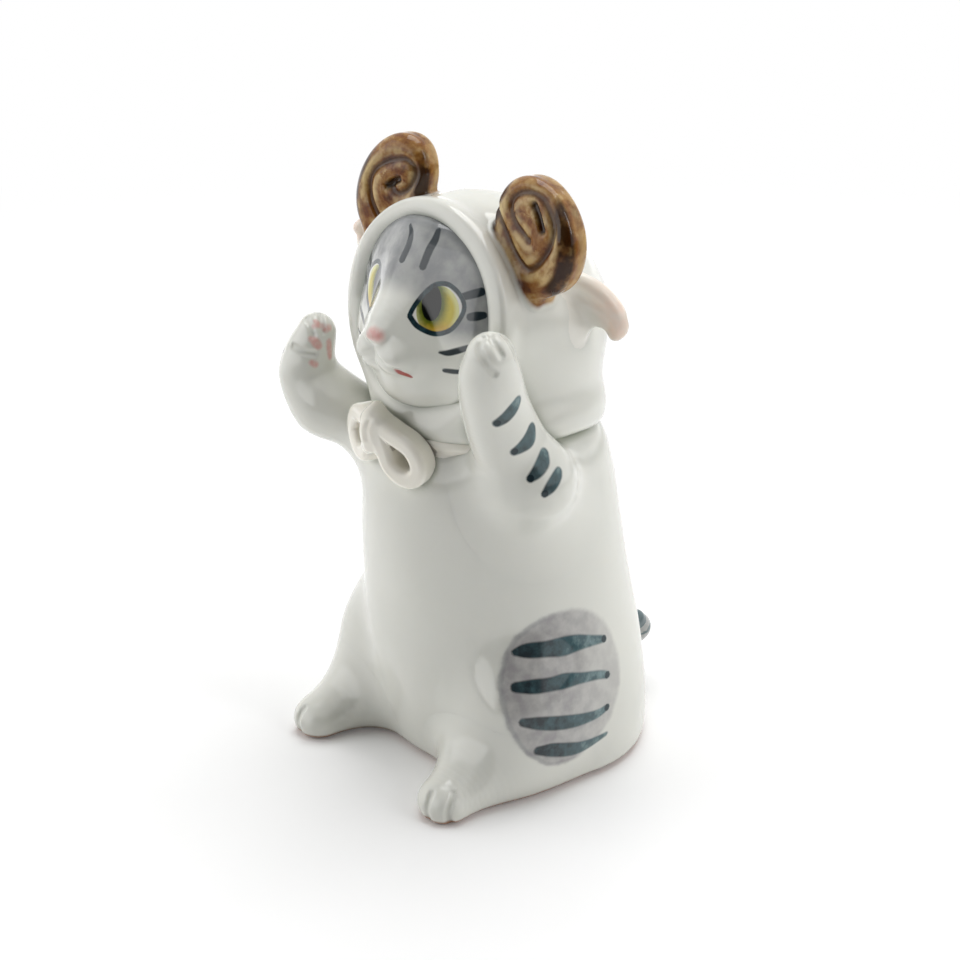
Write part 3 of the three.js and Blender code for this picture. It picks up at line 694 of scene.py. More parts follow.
brush = {
    "brow": [
        [(-1.6, -12.2, 84.1, 0.25), (-0.4, -13.5, 83.6, 0.45), (0.2, -14.6, 82.4, 0.58), (0.2, -15.7, 80.5, 0.62)],
        [(3.3, -11.2, 84.0, 0.4), (3.8, -12.6, 83.3, 0.58), (3.7, -13.5, 82.1, 0.62), (3.7, -14.7, 79.9, 0.56)]],
    "temple": [
        [(9.7, -12.9, 76.6, 0.5), (11.0, -12.0, 77.1, 0.62), (11.9, -11.3, 77.5, 0.6)],
        [(11.2, -12.7, 74.1, 0.58), (12.0, -12.2, 74.3, 0.64), (12.8, -11.7, 74.5, 0.5)]],
    "cheek": [
        [(8.1, -15.6, 69.0, 0.2), (9.1, -15.1, 69.0, 0.42), (10.2, -14.4, 69.4, 0.48), (11.7, -13.5, 70.1, 0.42)],
        [(8.8, -15.3, 66.5, 0.34), (9.8, -14.8, 66.5, 0.38), (10.8, -14.4, 66.6, 0.34), (12.0, -13.4, 66.9, 0.25)]],
    "lips": [(3.7, -20.1, 66.3, 0.25), (4.2, -19.4, 65.8, 0.45), (4.5, -18.5, 65.3, 0.42), (4.8, -17.9, 65.0, 0.25)],
    "flank": [
        [(17.7, -10.0, 24.2, 0.6), (18.7, -8.5, 24.3, 1.16), (19.9, -6.0, 24.1, 1.26), (20.7, -3.1, 23.8, 1.5),
         (21.0, -0.6, 23.6, 1.3), (21.3, 1.9, 23.1, 0.95), (21.4, 4.8, 22.4, 0.6)],
        [(19.4, -11.4, 19.6, 0.84), (20.9, -9.2, 19.5, 1.15), (21.9, -6.6, 19.3, 1.12), (22.3, -4.1, 19.1, 1.22),
         (22.6, -1.1, 18.5, 0.9), (22.7, 2.6, 17.6, 0.75), (22.7, 4.4, 16.9, 0.66)],
        [(21.3, -11.6, 14.6, 0.75), (22.5, -9.4, 14.1, 1.1), (23.5, -5.6, 13.1, 1.2), (23.7, -2.0, 12.2, 1.05),
         (23.6, 1.5, 11.6, 0.8), (23.5, 3.8, 11.8, 0.6)],
        [(22.6, -9.8, 9.7, 0.8), (23.2, -7.7, 9.2, 1.2), (23.5, -4.7, 8.1, 1.25), (23.5, -2.1, 7.3, 1.1),
         (23.5, 0.9, 7.0, 0.75), (23.6, 3.7, 7.2, 0.4)]],
    "leg": [
        [(20.0, -15.8, 62.2, 0.75), (20.7, -15.0, 63.0, 1.0), (21.3, -14.1, 64.2, 1.1), (21.4, -13.5, 65.1, 0.9)],
        [(20.1, -12.7, 57.3, 0.7), (20.6, -11.7, 57.9, 1.0), (20.7, -10.6, 58.7, 1.3), (20.5, -10.0, 59.9, 1.05)],
        [(21.2, -10.7, 53.1, 0.65), (21.5, -9.6, 54.0, 1.0), (21.4, -8.6, 55.0, 1.15), (20.9, -8.0, 55.9, 0.9)],
        [(22.5, -9.2, 50.8, 0.6), (22.7, -8.2, 51.7, 0.95), (22.6, -7.1, 52.7, 0.95), (22.3, -6.5, 53.3, 0.7)]],
    "blob": 0.66,  # radius of the dark drop where a stroke ends
}
eye = {
    "middle": (6.71, -14.73, 74.73),
    "turn": 25.0,
    "lid": [  # outer edge of the drawn line, across and up from the middle
        (-4.0, -1.3), (-2.5, -2.8), (0.1, -3.7), (2.5, -2.85), (4.0, -0.8), (4.3, 0.9), (3.4, 2.4), (1.9, 3.4),
        (0.5, 3.6), (-1.05, 3.1), (-2.5, 1.65), (-3.55, 0.0)],
    "line": 0.68,
    "iris": (0.25, -0.25, 3.1, 3.2),
    "pupil": (-0.8, 0.6, 1.45, 2.4),
}
flank = {"middle": (22.0, -3.4, 17.4), "along": (0.235, 0.972), "half": (10.8, 11.9),
         "setBack": 3.5}  # the other side is painted this much further back
blaze = {  # the white blaze between the eyes, under the grey of the forehead
    "x": 0.8,
    "edge": (1.0, 9.0),  # where the wash starts to come down on each side, and where it stops
    "low": (75.4, -6.4),  # the height where it is white in the middle, and how much lower at the sides
    "high": (78.8, -6.0),  # the height where it is full
}
pads = [
    [(-17.8, -18.1, 65.0, 0.3), (-17.5, -17.6, 64.3, 0.5), (-17.5, -17.2, 63.7, 0.4)],
    [(-16.9, -15.6, 64.1, 0.3), (-16.9, -15.5, 62.9, 0.42), (-16.9, -15.4, 61.7, 0.3)],
    [(-17.5, -18.5, 61.4, 0.25), (-17.2, -18.1, 61.1, 0.32)],
    [(-18.5, -16.8, 67.2, 0.2), (-17.9, -16.3, 66.6, 0.28), (-17.4, -15.9, 65.8, 0.2)]]


def layOn(form, strokes):
    return [pressed(form, smoothLine(stroke, 24)) for stroke in strokes]


def brushed(p, strokes):  # distance to the nearest stroke's edge, negative on it, and how far along it
    edge, along = np.full(len(p), 9.0), np.zeros(len(p))
    for stroke in strokes:
        d, t = lineDistance(p, stroke)
        edge, along = np.where(d < edge, d, edge), np.where(d < edge, t, along)
    return edge, along


def blobs(p, ends):  # distance to the nearest drop of colour
    return np.min([np.linalg.norm(p - np.array(end[:3]), axis=1) - end[3] for end in ends], 0)


def step01(value, low, high):
    t = np.clip((value - low) / (high - low), 0, 1)
    return t * t * (3 - 2 * t)


def insideOutline(x, y, line):
    a, b = line, np.roll(line, -1, 0)
    x, y = x[:, None], y[:, None]
    crosses = (a[:, 1] > y) != (b[:, 1] > y)
    at = a[:, 0] + (y - a[:, 1]) / (b[:, 1] - a[:, 1] + 1e-9) * (b[:, 0] - a[:, 0])
    return (crosses & (x < at)).sum(1) % 2 == 1


def facePaint(p):
    q = mirroredPoints(p)
    edge, along = brushed(p, layOn(faceForm, brush["brow"]))
    sides, sidesAlong = brushed(q, layOn(faceForm, brush["temple"] + brush["cheek"]))
    edge, along = np.minimum(edge, sides), np.where(sides < edge, sidesAlong, along)
    turn = math.radians(eye["turn"])
    off = q - np.array(eye["middle"])
    across, up = off[:, 0] * math.cos(turn) + off[:, 1] * math.sin(turn), off[:, 2]
    flat = np.stack([across, up], 1)
    line = smoothLine(eye["lid"] + eye["lid"][:1], 90)[:-1]
    lid = lineDistance(flat, line, closed=True)[0]
    lid = np.where(insideOutline(across, up, line), -lid, lid)
    lid = np.where(p[:, 1] > -6, 9, lid)
    ovals = [ringDistance(across - u, up - w, wide, tall) for u, w, wide, tall in (eye["iris"], eye["pupil"])]
    sideways = step01(np.abs(p[:, 0] - blaze["x"]), *blaze["edge"])
    low, high = ((middle + drop * sideways) for middle, drop in (blaze["low"], blaze["high"]))
    wash = step01(p[:, 2], low, high)
    rimGap = -ringDistance(p[:, 0], p[:, 2] - faceZ, hood["rimHalf"][0] - 1.1, hood["rimHalf"][1] - 1.1)
    nose = blobs(p, [(0.6, -21.3, 71.0, 0.4), (1.4, -20.9, 70.8, 0.3)])
    lips = brushed(q, [smoothLine(brush["lips"], 24)])[0]
    return {"stroke": edge, "along": along, "lid": lid, "iris": ovals[0], "pupil": ovals[1], "eyeUp": up,
            "wash": wash, "rimGap": rimGap, "pink": nose, "lips": lips}


def bodyPaint(p):
    q = mirroredPoints(p)
    q[:, 1] -= np.where(p[:, 0] < 0, flank["setBack"], 0)
    strokes = layOn(bodyForm, brush["flank"])
    edge, along = brushed(q, strokes)
    drops = blobs(q, [(*stroke[-1][:3], brush["blob"]) for stroke in strokes[:3]])
    off = q - np.array(flank["middle"])
    across = off[:, 0] * flank["along"][0] + off[:, 1] * flank["along"][1]
    wash = ringDistance(across, off[:, 2], *flank["half"])
    return {"stroke": np.minimum(edge, drops + 0.05), "along": along, "drop": drops,
            "oval": np.where(q[:, 0] < 8, 9, wash), "backward": across / flank["half"][0]}


def legPaint(p, side):
    strokes = brush["leg"]
    if side < 0:  # the same four marks down the outside of the other leg, from its own paw to its elbow
        strokes = [[(-23.6 - 0.5 * k, -20.4 + 1.0 * k, 62.6 - 3.1 * k, 0.5),
                    (-24.9 - 0.3 * k, -18.9 + 0.6 * k, 63.0 - 3.0 * k, 0.8),
                    (-25.2, -16.9 + 0.4 * k, 63.6 - 2.9 * k, 0.5)] for k in range(4)]
    strokes = layOn(lambda p: legForm(p, side), strokes)
    edge, along = brushed(p, strokes)
    drops = blobs(p, [(*stroke[0][:3], brush["blob"] * 0.9) for stroke in strokes])
    pink = brushed(p, layOn(lambda p: legForm(p, side), pads))[0] if side < 0 else np.full(len(p), 9.0)
    return {"stroke": np.minimum(edge, drops + 0.05), "along": along, "drop": drops, "pink": pink}


def hornPaint(p, side):
    made = horn[handed(side)]
    q = hornLocal(p, side)
    flat = q[:, [0, 2]]
    coil, around = lineDistance(flat, made["line"])
    return {"coil": coil, "around": around * 10, "slot": lineDistance(flat, made["slotLine"])[0],
            "deep": q[:, 1], "outline": hornDisc(flat, made), "outward": flat[:, 0], "bare": hoodForm(p)}


def earPaint(p, side):
    made = ear[handed(side)]
    roll = lineDistance(p, smoothLine(made["roll"], 24))[0]
    cup = lineDistance(p, smoothLine(made["cup"], 12))[0]
    reach = step01(np.linalg.norm(p[:, :2], axis=1), 17.5, 22.0)
    return {"roll": roll, "cup": cup, "reach": reach}


def tailPaint(p):
    return {"along": lineDistance(p, smoothLine(tail["line"], 30))[1]}


# Materials

def linear(code):  # sRGB hex to the linear values that the shaders take
    parts = [int(code[k:k + 2], 16) / 255 for k in (1, 3, 5)]
    return tuple(c / 12.92 if c <= 0.04045 else ((c + 0.055) / 1.055) ** 2.4 for c in parts) + (1.0,)


def node(tree, kind, inputs=None, out=0, **settings):  # one shader node with its settings, values and links
    made = tree.nodes.new("ShaderNode" + kind)
    for key, value in settings.items():
        setattr(made, key, value)
    for key, value in (inputs or {}).items():
        if isinstance(value, bpy.types.NodeSocket):
            tree.links.new(value, made.inputs[key])
        else:
            made.inputs[key].default_value = value
    return made.outputs[out] if made.outputs else made


colours = {
    "porcelain": "#e0e1d9",
    "thin": "#e9e6de",
    "pooled": "#9fa496",  # thick glaze in the creases, faintly green from its iron, and painted shade darkening them
    "litCream": "#f8f4e8",
    "earWhite": "#eeece3",
    "wash": "#8b8d8e",
    "dusk": "#5f6468",
    "flankWash": "#9b9899",
    "washEdge": "#74787c",
    "inkDark": "#14242b",
    "ink": "#3c5a60",
    "inkThin": "#86a0a1",
    "sclera": "#dcdbd6",
    "irisEdge": "#d6d592",
    "irisYellow": "#c4b222",
    "irisOrange": "#c99a1e",
    "irisGreen": "#4d5c1c",
    "pupil": "#0b0d0c",
    "pink": "#df8f88",
    "lips": "#a5352b",
    "peach": "#f4dccb",
    "earHollow": "#b9b7a8",
    "footLine": "#97633a",
    "biscuit": "#d8cfc0",
    "creaseBrown": "#4d3320",
    "hornDark": "#431f08",
    "hornRed": "#733f14",
    "hornBrown": "#9a6e37",
    "hornCream": "#ccb27c",
    "hornBank": "#cdb481",
    "hornRidge": "#d4bb86",
    "hornRear": "#ccae7c",
    "hornCorner": "#2c1406",
    "hornGroove": "#452c1c",
    "hornSlot": "#2a160b",
}


class Recipe:  # a material being mixed: its colour so far, and the words for adding to it
    def __init__(self, name, base="porcelain"):
        self.material = bpy.data.materials.new(name)
        self.material.use_nodes = True
        self.tree = self.material.node_tree
        self.tree.nodes.clear()
        place = node(self.tree, "TexCoord", out="Object")
        self.place = node(self.tree, "VectorMath", {0: place, 3: 1 / mm}, operation="SCALE")  # in mm
        self.colour = node(self.tree, "RGB")
        self.colour.default_value = linear(colours[base])

    def amount(self, how):
        # A socket or number as it is, a painted value by its name, or (value, low, high, least, most),
        # which goes smoothly from least to most as the value goes from low to high
        if isinstance(how, str):
            return node(self.tree, "Attribute", attribute_name=how, out="Fac")
        if isinstance(how, tuple):
            how = how + (0.0, 1.0)[len(how) - 3:]
            return node(self.tree, "MapRange", dict(enumerate((self.amount(how[0]), *how[1:]))),
                        interpolation_type="SMOOTHSTEP")
        return how

    def times(self, first, *others):
        first = self.amount(first)
        for other in others:
            first = node(self.tree, "Math", {0: first, 1: self.amount(other)}, operation="MULTIPLY")
        return first

    def uneven(self, value, size, detail=3.0, depth=1.0, where=None):  # in patches so many mm wide
        noise = node(self.tree, "TexNoise", {
            "Vector": where or self.place, "Scale": 1 / size, "Detail": detail, "Roughness": 0.55}, out="Fac")
        return node(self.tree, "Math", {0: noise, 1: depth, 2: self.amount(value)}, operation="MULTIPLY_ADD")

    def shade(self, colour):  # a colour by its name, or [value, (place, name), ...], running through them as it rises
        if isinstance(colour, str):
            return linear(colours[colour])
        made = node(self.tree, "ValToRGB", {0: colour[0]}).node
        for k, (at, name) in enumerate(colour[1:]):
            element = made.color_ramp.elements[k] if k < 2 else made.color_ramp.elements.new(1.0)
            element.position, element.color = at, linear(colours[name])
        return made.outputs[0]

    def lay(self, colour, *amounts):  # covers what is there with a colour, in the product of the amounts
        self.colour = node(self.tree, "Mix", {0: self.times(*amounts), 6: self.colour, 7: self.shade(colour)},
                           data_type="RGBA", out=2)

    def glazed(self, roughness=0.07, bump=0.02, specular=0.5):
        # The fired glaze: clear, thick and wet-looking, with a faint swell that bends reflections
        swell = self.uneven(0.0, 4.5, 2.0)
        normal = node(self.tree, "Bump", {"Strength": 0.5, "Distance": bump * mm, "Height": swell})
        shader = node(self.tree, "BsdfPrincipled", {
            "Base Color": self.colour, "Roughness": roughness, "IOR": 1.52, "Specular IOR Level": specular,
            "Normal": normal, "Subsurface Weight": 0.15, "Subsurface Scale": 1.2 * mm,
            "Subsurface Radius": (1.0, 0.9, 0.75)})
        node(self.tree, "OutputMaterial", {"Surface": shader})
        return self.material


def clay(recipe, poolAndShadeAmount=0.7):  # white body seen through glaze: faint cloudiness, and green-grey where the glaze pools in the creases, painted darker there as painted shade
    recipe.lay("thin", recipe.uneven(0.0, 9.0, 2.0, 0.35))
    # painted shade: creases darkened green-grey, together with the glaze that pools there
    recipe.lay("pooled", "pool", poolAndShadeAmount)


def ink(recipe, soft, fading, load):
    # Cobalt and iron underglaze from a loaded brush: nearly black where it landed, watery grey-green as it runs out
    run = recipe.times(("along", 0.15, 0.85), -fading)
    pooled = node(recipe.tree, "Math", {0: run, 1: recipe.amount(("stroke", -0.3, -0.05, 0.0, 0.1)), 2: 0.0})
    density = recipe.uneven(node(recipe.tree, "Math", {0: pooled, 1: load - 0.62}), 1.4, 4.0, 1.1)
    recipe.lay([density, (0.05, "inkThin"), (0.5, "ink"), (1.0, "inkDark")], ("stroke", soft, -1.6 * soft, 0.0, 0.96))


def inkDrops(recipe):  # the dark bead left where a loaded brush stops
    recipe.lay("inkDark", ("drop", 0.02, -0.16, 0.0, 0.85))


def blush(recipe, spread, strength):  # soft pink dabbed on
    recipe.lay("pink", ("pink", spread, -0.15, 0.0, strength), (recipe.uneven(0.0, 0.7), 0.25, 0.6, 0.65))


def plainPorcelain():
    # Slip-cast porcelain under clear feldspar glaze, fired: cold white, wet-looking, a little green and painted
    # darker in its creases
    recipe = Recipe("glazed porcelain")
    clay(recipe)
    return recipe.glazed()


def bodyPorcelain():
    # The same glazed porcelain with a grey wash on the flank and brushed stripes, and a bare toasted foot line
    recipe = Recipe("glazed porcelain, painted flank")
    clay(recipe)
    edge = recipe.uneven("oval", 2.2, 3.0, 0.8)
    recipe.lay("flankWash", (edge, 0.75, -0.35), (recipe.uneven(0.0, 2.6, 4.0), 0.3, 0.7, 0.62),
               ("backward", -0.2, 1.0, 0.95, 0.5))
    recipe.lay("washEdge", (edge, 0.45, 0.05), (edge, -0.6, -0.1), ("backward", 0.1, -0.6, 0.0, 0.3))
    ink(recipe, 0.18, 0.5, 0.95)
    inkDrops(recipe)
    height = node(recipe.tree, "SeparateXYZ", {0: recipe.place}, out=2)
    recipe.lay("footLine", (recipe.uneven(height, 1.8, 3.0, -0.35), 1.1, 0.35, 0.0, 0.9))
    recipe.lay("biscuit", (height, 0.12, 0.04))
    return recipe.glazed()


def facePorcelain():
    # The face, painted under the glaze: grey wash, brushed marks, and two clear yellow-green eyes
    recipe = Recipe("glazed porcelain, painted face")
    clay(recipe)
    recipe.lay("wash", "wash", (recipe.uneven(0.0, 3.2, 5.0), 0.3, 0.7, 0.74))
    # the grey wash painted denser at the face's edge, and painted shade where the face goes in under the hood's rim
    recipe.lay("dusk", ("rimGap", 1.0, 0.1, 0.0, 0.5), "wash")
    blush(recipe, 1.25, 0.75)
    recipe.lay("lips", ("lips", 0.08, -0.1, 0.0, 0.92))
    ink(recipe, 0.09, 0.1, 1.35)
    within = recipe.amount(("lid", 0.02, -0.12))
    eyeball = recipe.times(("iris", 0.06, -0.1), within)
    recipe.lay("sclera", within)
    recipe.lay("irisEdge", eyeball)
    recipe.lay("irisYellow", ("iris", -0.2, -1.0), within)
    recipe.lay("irisOrange", ("eyeUp", -1.2, -3.0), 0.8, eyeball)
    recipe.lay("irisGreen", (recipe.uneven("pupil", 0.5, 3.0, 0.5), 1.75, 0.2, 0.0, 0.95), eyeball)
    recipe.lay("pupil", ("pupil", 0.05, -0.1), eyeball)
    inner = -eye["line"]
    recipe.lay([recipe.uneven(0.0, 0.9), (0.4, "inkDark"), (1.0, "ink")], ("lid", inner - 0.08, inner + 0.1),
               ("lid", 0.07, -0.09))
    return recipe.glazed()


def legPorcelain():
    # Glazed porcelain with four brushed bars, and pink dabs on the pads of the open paw
    recipe = Recipe("glazed porcelain, painted leg")
    clay(recipe)
    blush(recipe, 0.45, 0.62)
    ink(recipe, 0.16, 0.25, 0.85)
    inkDrops(recipe)
    return recipe.glazed()


def hornGlaze():
    # Iron-brown glaze wiped over carved clay: it runs off the ridges to cream and lies dark and thick in the hollows
    recipe = Recipe("iron brown glaze")
    wiped = node(recipe.tree, "CombineXYZ", {
        0: recipe.times("coil", 1.3), 1: recipe.times("around", 3.6), 2: recipe.amount("deep")})
    patches = recipe.uneven(recipe.uneven(0.0, 2.6, 4.0, 0.45), 2.0, 4.0, 0.55, wiped)
    recipe.lay([patches, (0.3, "hornDark"), (0.42, "hornRed"), (0.54, "hornBrown"), (0.68, "hornCream")], 1.0)
    face = recipe.amount(("deep", -1.0, -2.2))
    side = node(recipe.tree, "Math", {0: recipe.amount("outward")}, operation="ABSOLUTE")
    recipe.lay("hornBank", ("coil", 2.1, 1.1), ("coil", 0.4, 0.85), face,
               (recipe.uneven(0.0, 3.6), 0.4, 0.6, 0.0, 0.7))
    recipe.lay("hornRidge", ("outline", -3.0, -2.4), ("outline", -1.4, -1.9), face, (side, 2.5, 4.5),
               (patches, 0.4, 0.58, 0.2, 0.8))
    recipe.lay("hornRear", ("deep", -0.6, 0.8), (recipe.uneven(0.0, 2.4, 4.0), 0.3, 0.6, 0.1, 0.65))
    recipe.lay("hornCorner", ("outline", -2.0, -1.2), ("deep", -0.3, -1.2), (side, 3.4, 5.0),
               (recipe.uneven(0.0, 2.8), 0.3, 0.5, 0.5), 0.95)
    recipe.lay("hornGroove", ("coil", 0.7, 0.12, 0.0, 0.85), face)
    recipe.lay("hornSlot", ("slot", 0.85, 0.25, 0.0, 0.95), face)
    # the glaze thins to porcelain white where the horn meets the hood
    recipe.lay("porcelain", (recipe.uneven("bare", 2.0, 2.0, 0.3), 0.6, 0.2))
    return recipe.glazed(0.09, 0.05, 0.3)


def earPorcelain():
    # Glazed porcelain painted whiter than the rest as painted light, with a thin peach stain along the rolled edge
    # and painted shade in the pressed hollow
    # painted light: the ear's white is lighter than the porcelain elsewhere
    recipe = Recipe("glazed porcelain, peach ear", "earWhite")
    clay(recipe, 0.4)
    recipe.lay("peach", ("roll", 1.6, 0.2, 0.15), "reach", (recipe.uneven(0.0, 2.0), 0.3, 0.7, 0.5, 0.9))
    # painted shade, grey as pooled glaze, in the pressed hollow of the ear
    recipe.lay("earHollow", ("cup", 1.9, 0.9, 0.0, 0.2))
    return recipe.glazed()


def bowPorcelain():
    # Rolled strips of the same clay, painted a lighter cream than the body as painted light, with painted brown shade
    # in their creases
    # painted light: a lighter cream base than the porcelain stands in for light on the bow
    recipe = Recipe("glazed porcelain, ribbon", "litCream")
    clay(recipe, 0.05)
    # painted shade: brown deep in the creases and loop holes, where the glaze also pools
    recipe.lay("creaseBrown", ("pool", 0.84, 1.0, 0.0, 0.5))
    return recipe.glazed()


def tailPorcelain():
    # Grey wash and dark rings brushed round the tail
    recipe = Recipe("glazed porcelain, painted tail")
    clay(recipe)
    recipe.lay("wash", ("along", 0.35, 0.6, 0.0, 0.75))
    turns = recipe.times(recipe.uneven("along", 1.5, 3.0, 0.06), 34.0)
    rings = node(recipe.tree, "Math", {0: turns}, operation="SINE")
    bars, tip = recipe.times((rings, 0.3, 0.6), ("along", 0.4, 0.5)), recipe.amount(("along", 0.93, 0.97))
    recipe.lay("ink", node(recipe.tree, "Math", {0: bars, 1: tip}, operation="MAXIMUM"), 0.8)
    return recipe.glazed()


plain, painted, faced, barred = plainPorcelain(), bodyPorcelain(), facePorcelain(), legPorcelain()
horned, peach, ribboned, ringed = hornGlaze(), earPorcelain(), bowPorcelain(), tailPorcelain()
print("materials ready")


# Pieces

shapes = {}  # form, skin, material, painting and slot of each piece
white = "porcelain_white"


def shape(name, form, box, step, look, host=None, fillet=0.0, cut=lambda f, p: f):
    whole, joined = seated(form, host, fillet) if host else (form, None)
    low, high = np.array(box, float).T
    shapes[name] = (form, skinOf(lambda p: cut(whole(p), p), low, high, step, joined), *look)


shape("body_shell", bodyForm, ((-26, 26), (-20, 28), (0, 58)), body["step"], (painted, bodyPaint, white), cut=bodyCut)
shape("hood", hoodPiece, ((-19, 19), (-20, 20), (50, 90)), hood["step"], (plain, None, white))
shape("head", headPiece, ((-18, 18), (-23, 18), (54, 88)), face["step"], (faced, facePaint, "face_wash"))
for side in (1, -1):
    word, left = handed(side), side > 0
    middle = hornFrame(side)[0]
    shape(word + "_horn", partial(hornForm, side=side), np.stack([middle - 12, middle + 12], 1), horn["step"],
          (horned, partial(hornPaint, side=side), "horn_brown"), hoodForm, horn["fillet"])
    shape(word + "_ear", partial(earForm, side=side), ((10, 30) if left else (-30, -10), (-6, 11), (64, 86)),
          ear["step"], (peach, partial(earPaint, side=side), "ear_blush"), hoodForm, ear["fillet"])
    shape(word + "_arm", partial(legForm, side=side), ((4, 30) if left else (-30, 0), (-26, 8), (30, 78)),
          leg["step"], (barred, partial(legPaint, side=side), white), bodyForm, leg["fillet"])
    shape(word + "_hind_foot", partial(footForm, side=side), ((0, 30) if left else (-30, 0), (-29, 4), (0, 18)),
          hindFoot["step"], (painted, bodyPaint, white), bodyForm, hindFoot["fillet"], standing)
    shape(word + "_bow_loop", partial(loopForm, side=side), ((-2, 13) if left else (-14, 2), (-24, -10), (44, 62)),
          bow["step"], (ribboned, None, white))
shape("bow_knot", knotForm, ((-6, 4), (-24, -14), (49, 64)), bow["step"], (ribboned, None, white),
      lambda p: np.minimum(loopForm(p, 1), loopForm(p, -1)), bow["knotFillet"])
shape("neck_ribbon", ribbonForm, ((-20, 22), (-22, 4), (50, 59)), ribbon["step"], (ribboned, None, white),
      bodyForm, ribbon["fillet"])
shape("tail", tailForm, ((-8, 16), (16, 33), (0, 20)), tail["step"], (ringed, tailPaint, "tail_wash"),
      bodyForm, tail["fillet"], standing)


def everything(p):  # all the clay, to find its creases
    nearest = np.full(len(p), 9, np.float32)
    for form, skin, *_ in shapes.values():
        low, high = skin[0].min(0) - 2.2, skin[0].max(0) + 2.2
        near = np.flatnonzero(((p > low) & (p < high)).all(1))
        if len(near):
            nearest[near] = np.minimum(nearest[near], form(p[near]))
    return nearest


def creases(verts, normals):  # 0 on open surfaces, 1 deep in a crease, by how close the clay is a little way out; it places pooled glaze and painted crease shade
    near, far = 0.8, 2.0
    inner = everything((verts + normals * near).astype(np.float32)) / near
    outer = everything((verts + normals * far).astype(np.float32)) / far
    return np.clip(0.6 * (1 - inner) + 0.5 * (1 - outer) - 0.08, 0, 1)


def addPiece(name, skin, material, paint, slot):
    verts, faces, normals = skin
    mesh = bpy.data.meshes.new(name)
    mesh.from_pydata((verts * mm).tolist(), [], faces.tolist())
    mesh.shade_smooth()
    mesh.normals_split_custom_set_from_vertices(normals.tolist())
    values = {"pool": creases(verts, normals), **(paint(verts) if paint else {})}
    for key, value in values.items():
        mesh.attributes.new(key, "FLOAT", "POINT").data.foreach_set("value", np.asarray(value, np.float32))
    mesh.materials.append(material)
    piece = placed(name, mesh)
    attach(piece, "root")
    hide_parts(name.replace("_piece", ""))
    print(f"{name}: {len(verts)} points")


for name, (form, *dress) in shapes.items():
    addPiece(name + "_piece", *dress)
print("pieces ready")


# Camera and studio

camera = {
    "turn": 48.0,  # degrees round to the cat's left
    "rise": 23.9,
    "away": 241.0,
    "aim": (-0.65, -3.9, 47),  # across and up in the picture, from a point this high in the figure
    "lens": 60.0,
}


def cameraView():
    turn, rise = math.radians(camera["turn"]), math.radians(camera["rise"])
    back = Vector((math.sin(turn) * math.cos(rise), -math.cos(turn) * math.cos(rise), math.sin(rise)))
    right = Vector((math.cos(turn), math.sin(turn), 0))
    up = back.cross(right)
    data = bpy.data.cameras.new("camera")
    data.lens, data.sensor_width = camera["lens"], 36.0
    made = placed("camera", data)
    across, above, height = camera["aim"]
    spot = (back * camera["away"] + right * across + up * above + Vector((0, 0, height))) * mm
    made.matrix_world = Matrix.Translation(spot) @ Matrix((right, up, back)).transposed().to_4x4()
    bpy.context.scene.camera = made


def areaLight(name, spot, aim, size, power, mirrored):  # one that isn't mirrored only fills
    data = bpy.data.lights.new(name, "AREA")
    data.shape = "RECTANGLE"
    data.size, data.size_y = size
    data.energy = power
    made = placed(name, data)
    made.location = spot
    made.rotation_euler = (Vector(aim) - Vector(spot)).to_track_quat("-Z", "Y").to_euler()
    made.visible_glossy = mirrored


studio = {
    "tent": 0.44,  # light of the white tent on matt surfaces
    "gapWay": (0.79, -0.575, 0.21),  # towards the opening of the tent, where the light is least
    "gapHalf": (0.73, 0.53),  # half width and height of the opening, as tangents
    "windowWay": (-0.33, -0.86, 0.35),  # towards the big window that the glaze mirrors
    "windowHalf": (0.81, 0.41),
    "windowBright": 1.2,
    "farPaper": (0.12, 1.5),  # how brightly the glaze mirrors what lies past the paper, at the near and the far side
    "paperGlow": 0.08,
    "glowNear": 0.14,  # the paper is evenly white from here outwards, in metres
    "glowFar": 0.4,
}


def raysOf(tree):  # the kinds of ray, and 1 for what the camera sees or looks through
    rays = node(tree, "LightPath").node.outputs
    return rays, node(tree, "Math", {0: rays["Is Camera Ray"], 1: rays["Is Transmission Ray"]}, operation="MAXIMUM")


def paperWhite():
    # Matt white paper sweep: the camera sees it plain white, less the shadow that falls on it
    made = bpy.data.materials.new("white paper sweep")
    made.use_nodes = True
    tree = made.node_tree
    tree.nodes.clear()
    rays, straight = raysOf(tree)
    paper = node(tree, "BsdfDiffuse", {"Color": linear("#f4f4f4")})
    glow = node(tree, "Emission", {"Color": linear("#ffffff"), "Strength": studio["paperGlow"]})
    near = node(tree, "AddShader", {0: paper, 1: glow})
    place = node(tree, "TexCoord", out="Object")
    away = node(tree, "VectorMath", {0: place}, operation="LENGTH", out=1)
    fade = {0: away, 1: studio["glowNear"], 2: studio["glowFar"]}
    beyond = node(tree, "MapRange", fade, interpolation_type="SMOOTHSTEP")
    white = node(tree, "Emission", {"Color": linear("#ffffff"), "Strength": 1.0})
    bright = node(tree, "MixShader", {0: beyond, 1: near, 2: white})
    # the glaze mirrors a darker room past the paper's edge, but bright paper all the way on the far side of the face
    across = node(tree, "SeparateXYZ", {0: place}, out=0)
    darkRoom, farSide = studio["farPaper"]
    dim = node(tree, "MapRange", {0: across, 1: -0.3, 2: 0.0, 3: farSide, 4: darkRoom})
    dim = node(tree, "Emission", {"Color": linear("#ffffff"), "Strength": dim})
    mirrored = node(tree, "MixShader", {0: beyond, 1: paper, 2: dim})
    surface = node(tree, "MixShader", {0: rays["Is Glossy Ray"], 1: paper, 2: mirrored})
    surface = node(tree, "MixShader", {0: straight, 1: surface, 2: bright})
    node(tree, "OutputMaterial", {"Surface": surface})
    return made


def paperSweep():
    mesh = bpy.data.meshes.new("floor")
    mesh.from_pydata([(-3, -3, 0), (3, -3, 0), (3, 3, 0), (-3, 3, 0)], [], [(0, 1, 2, 3)])
    mesh.materials.append(paperWhite())
    placed("floor", mesh)


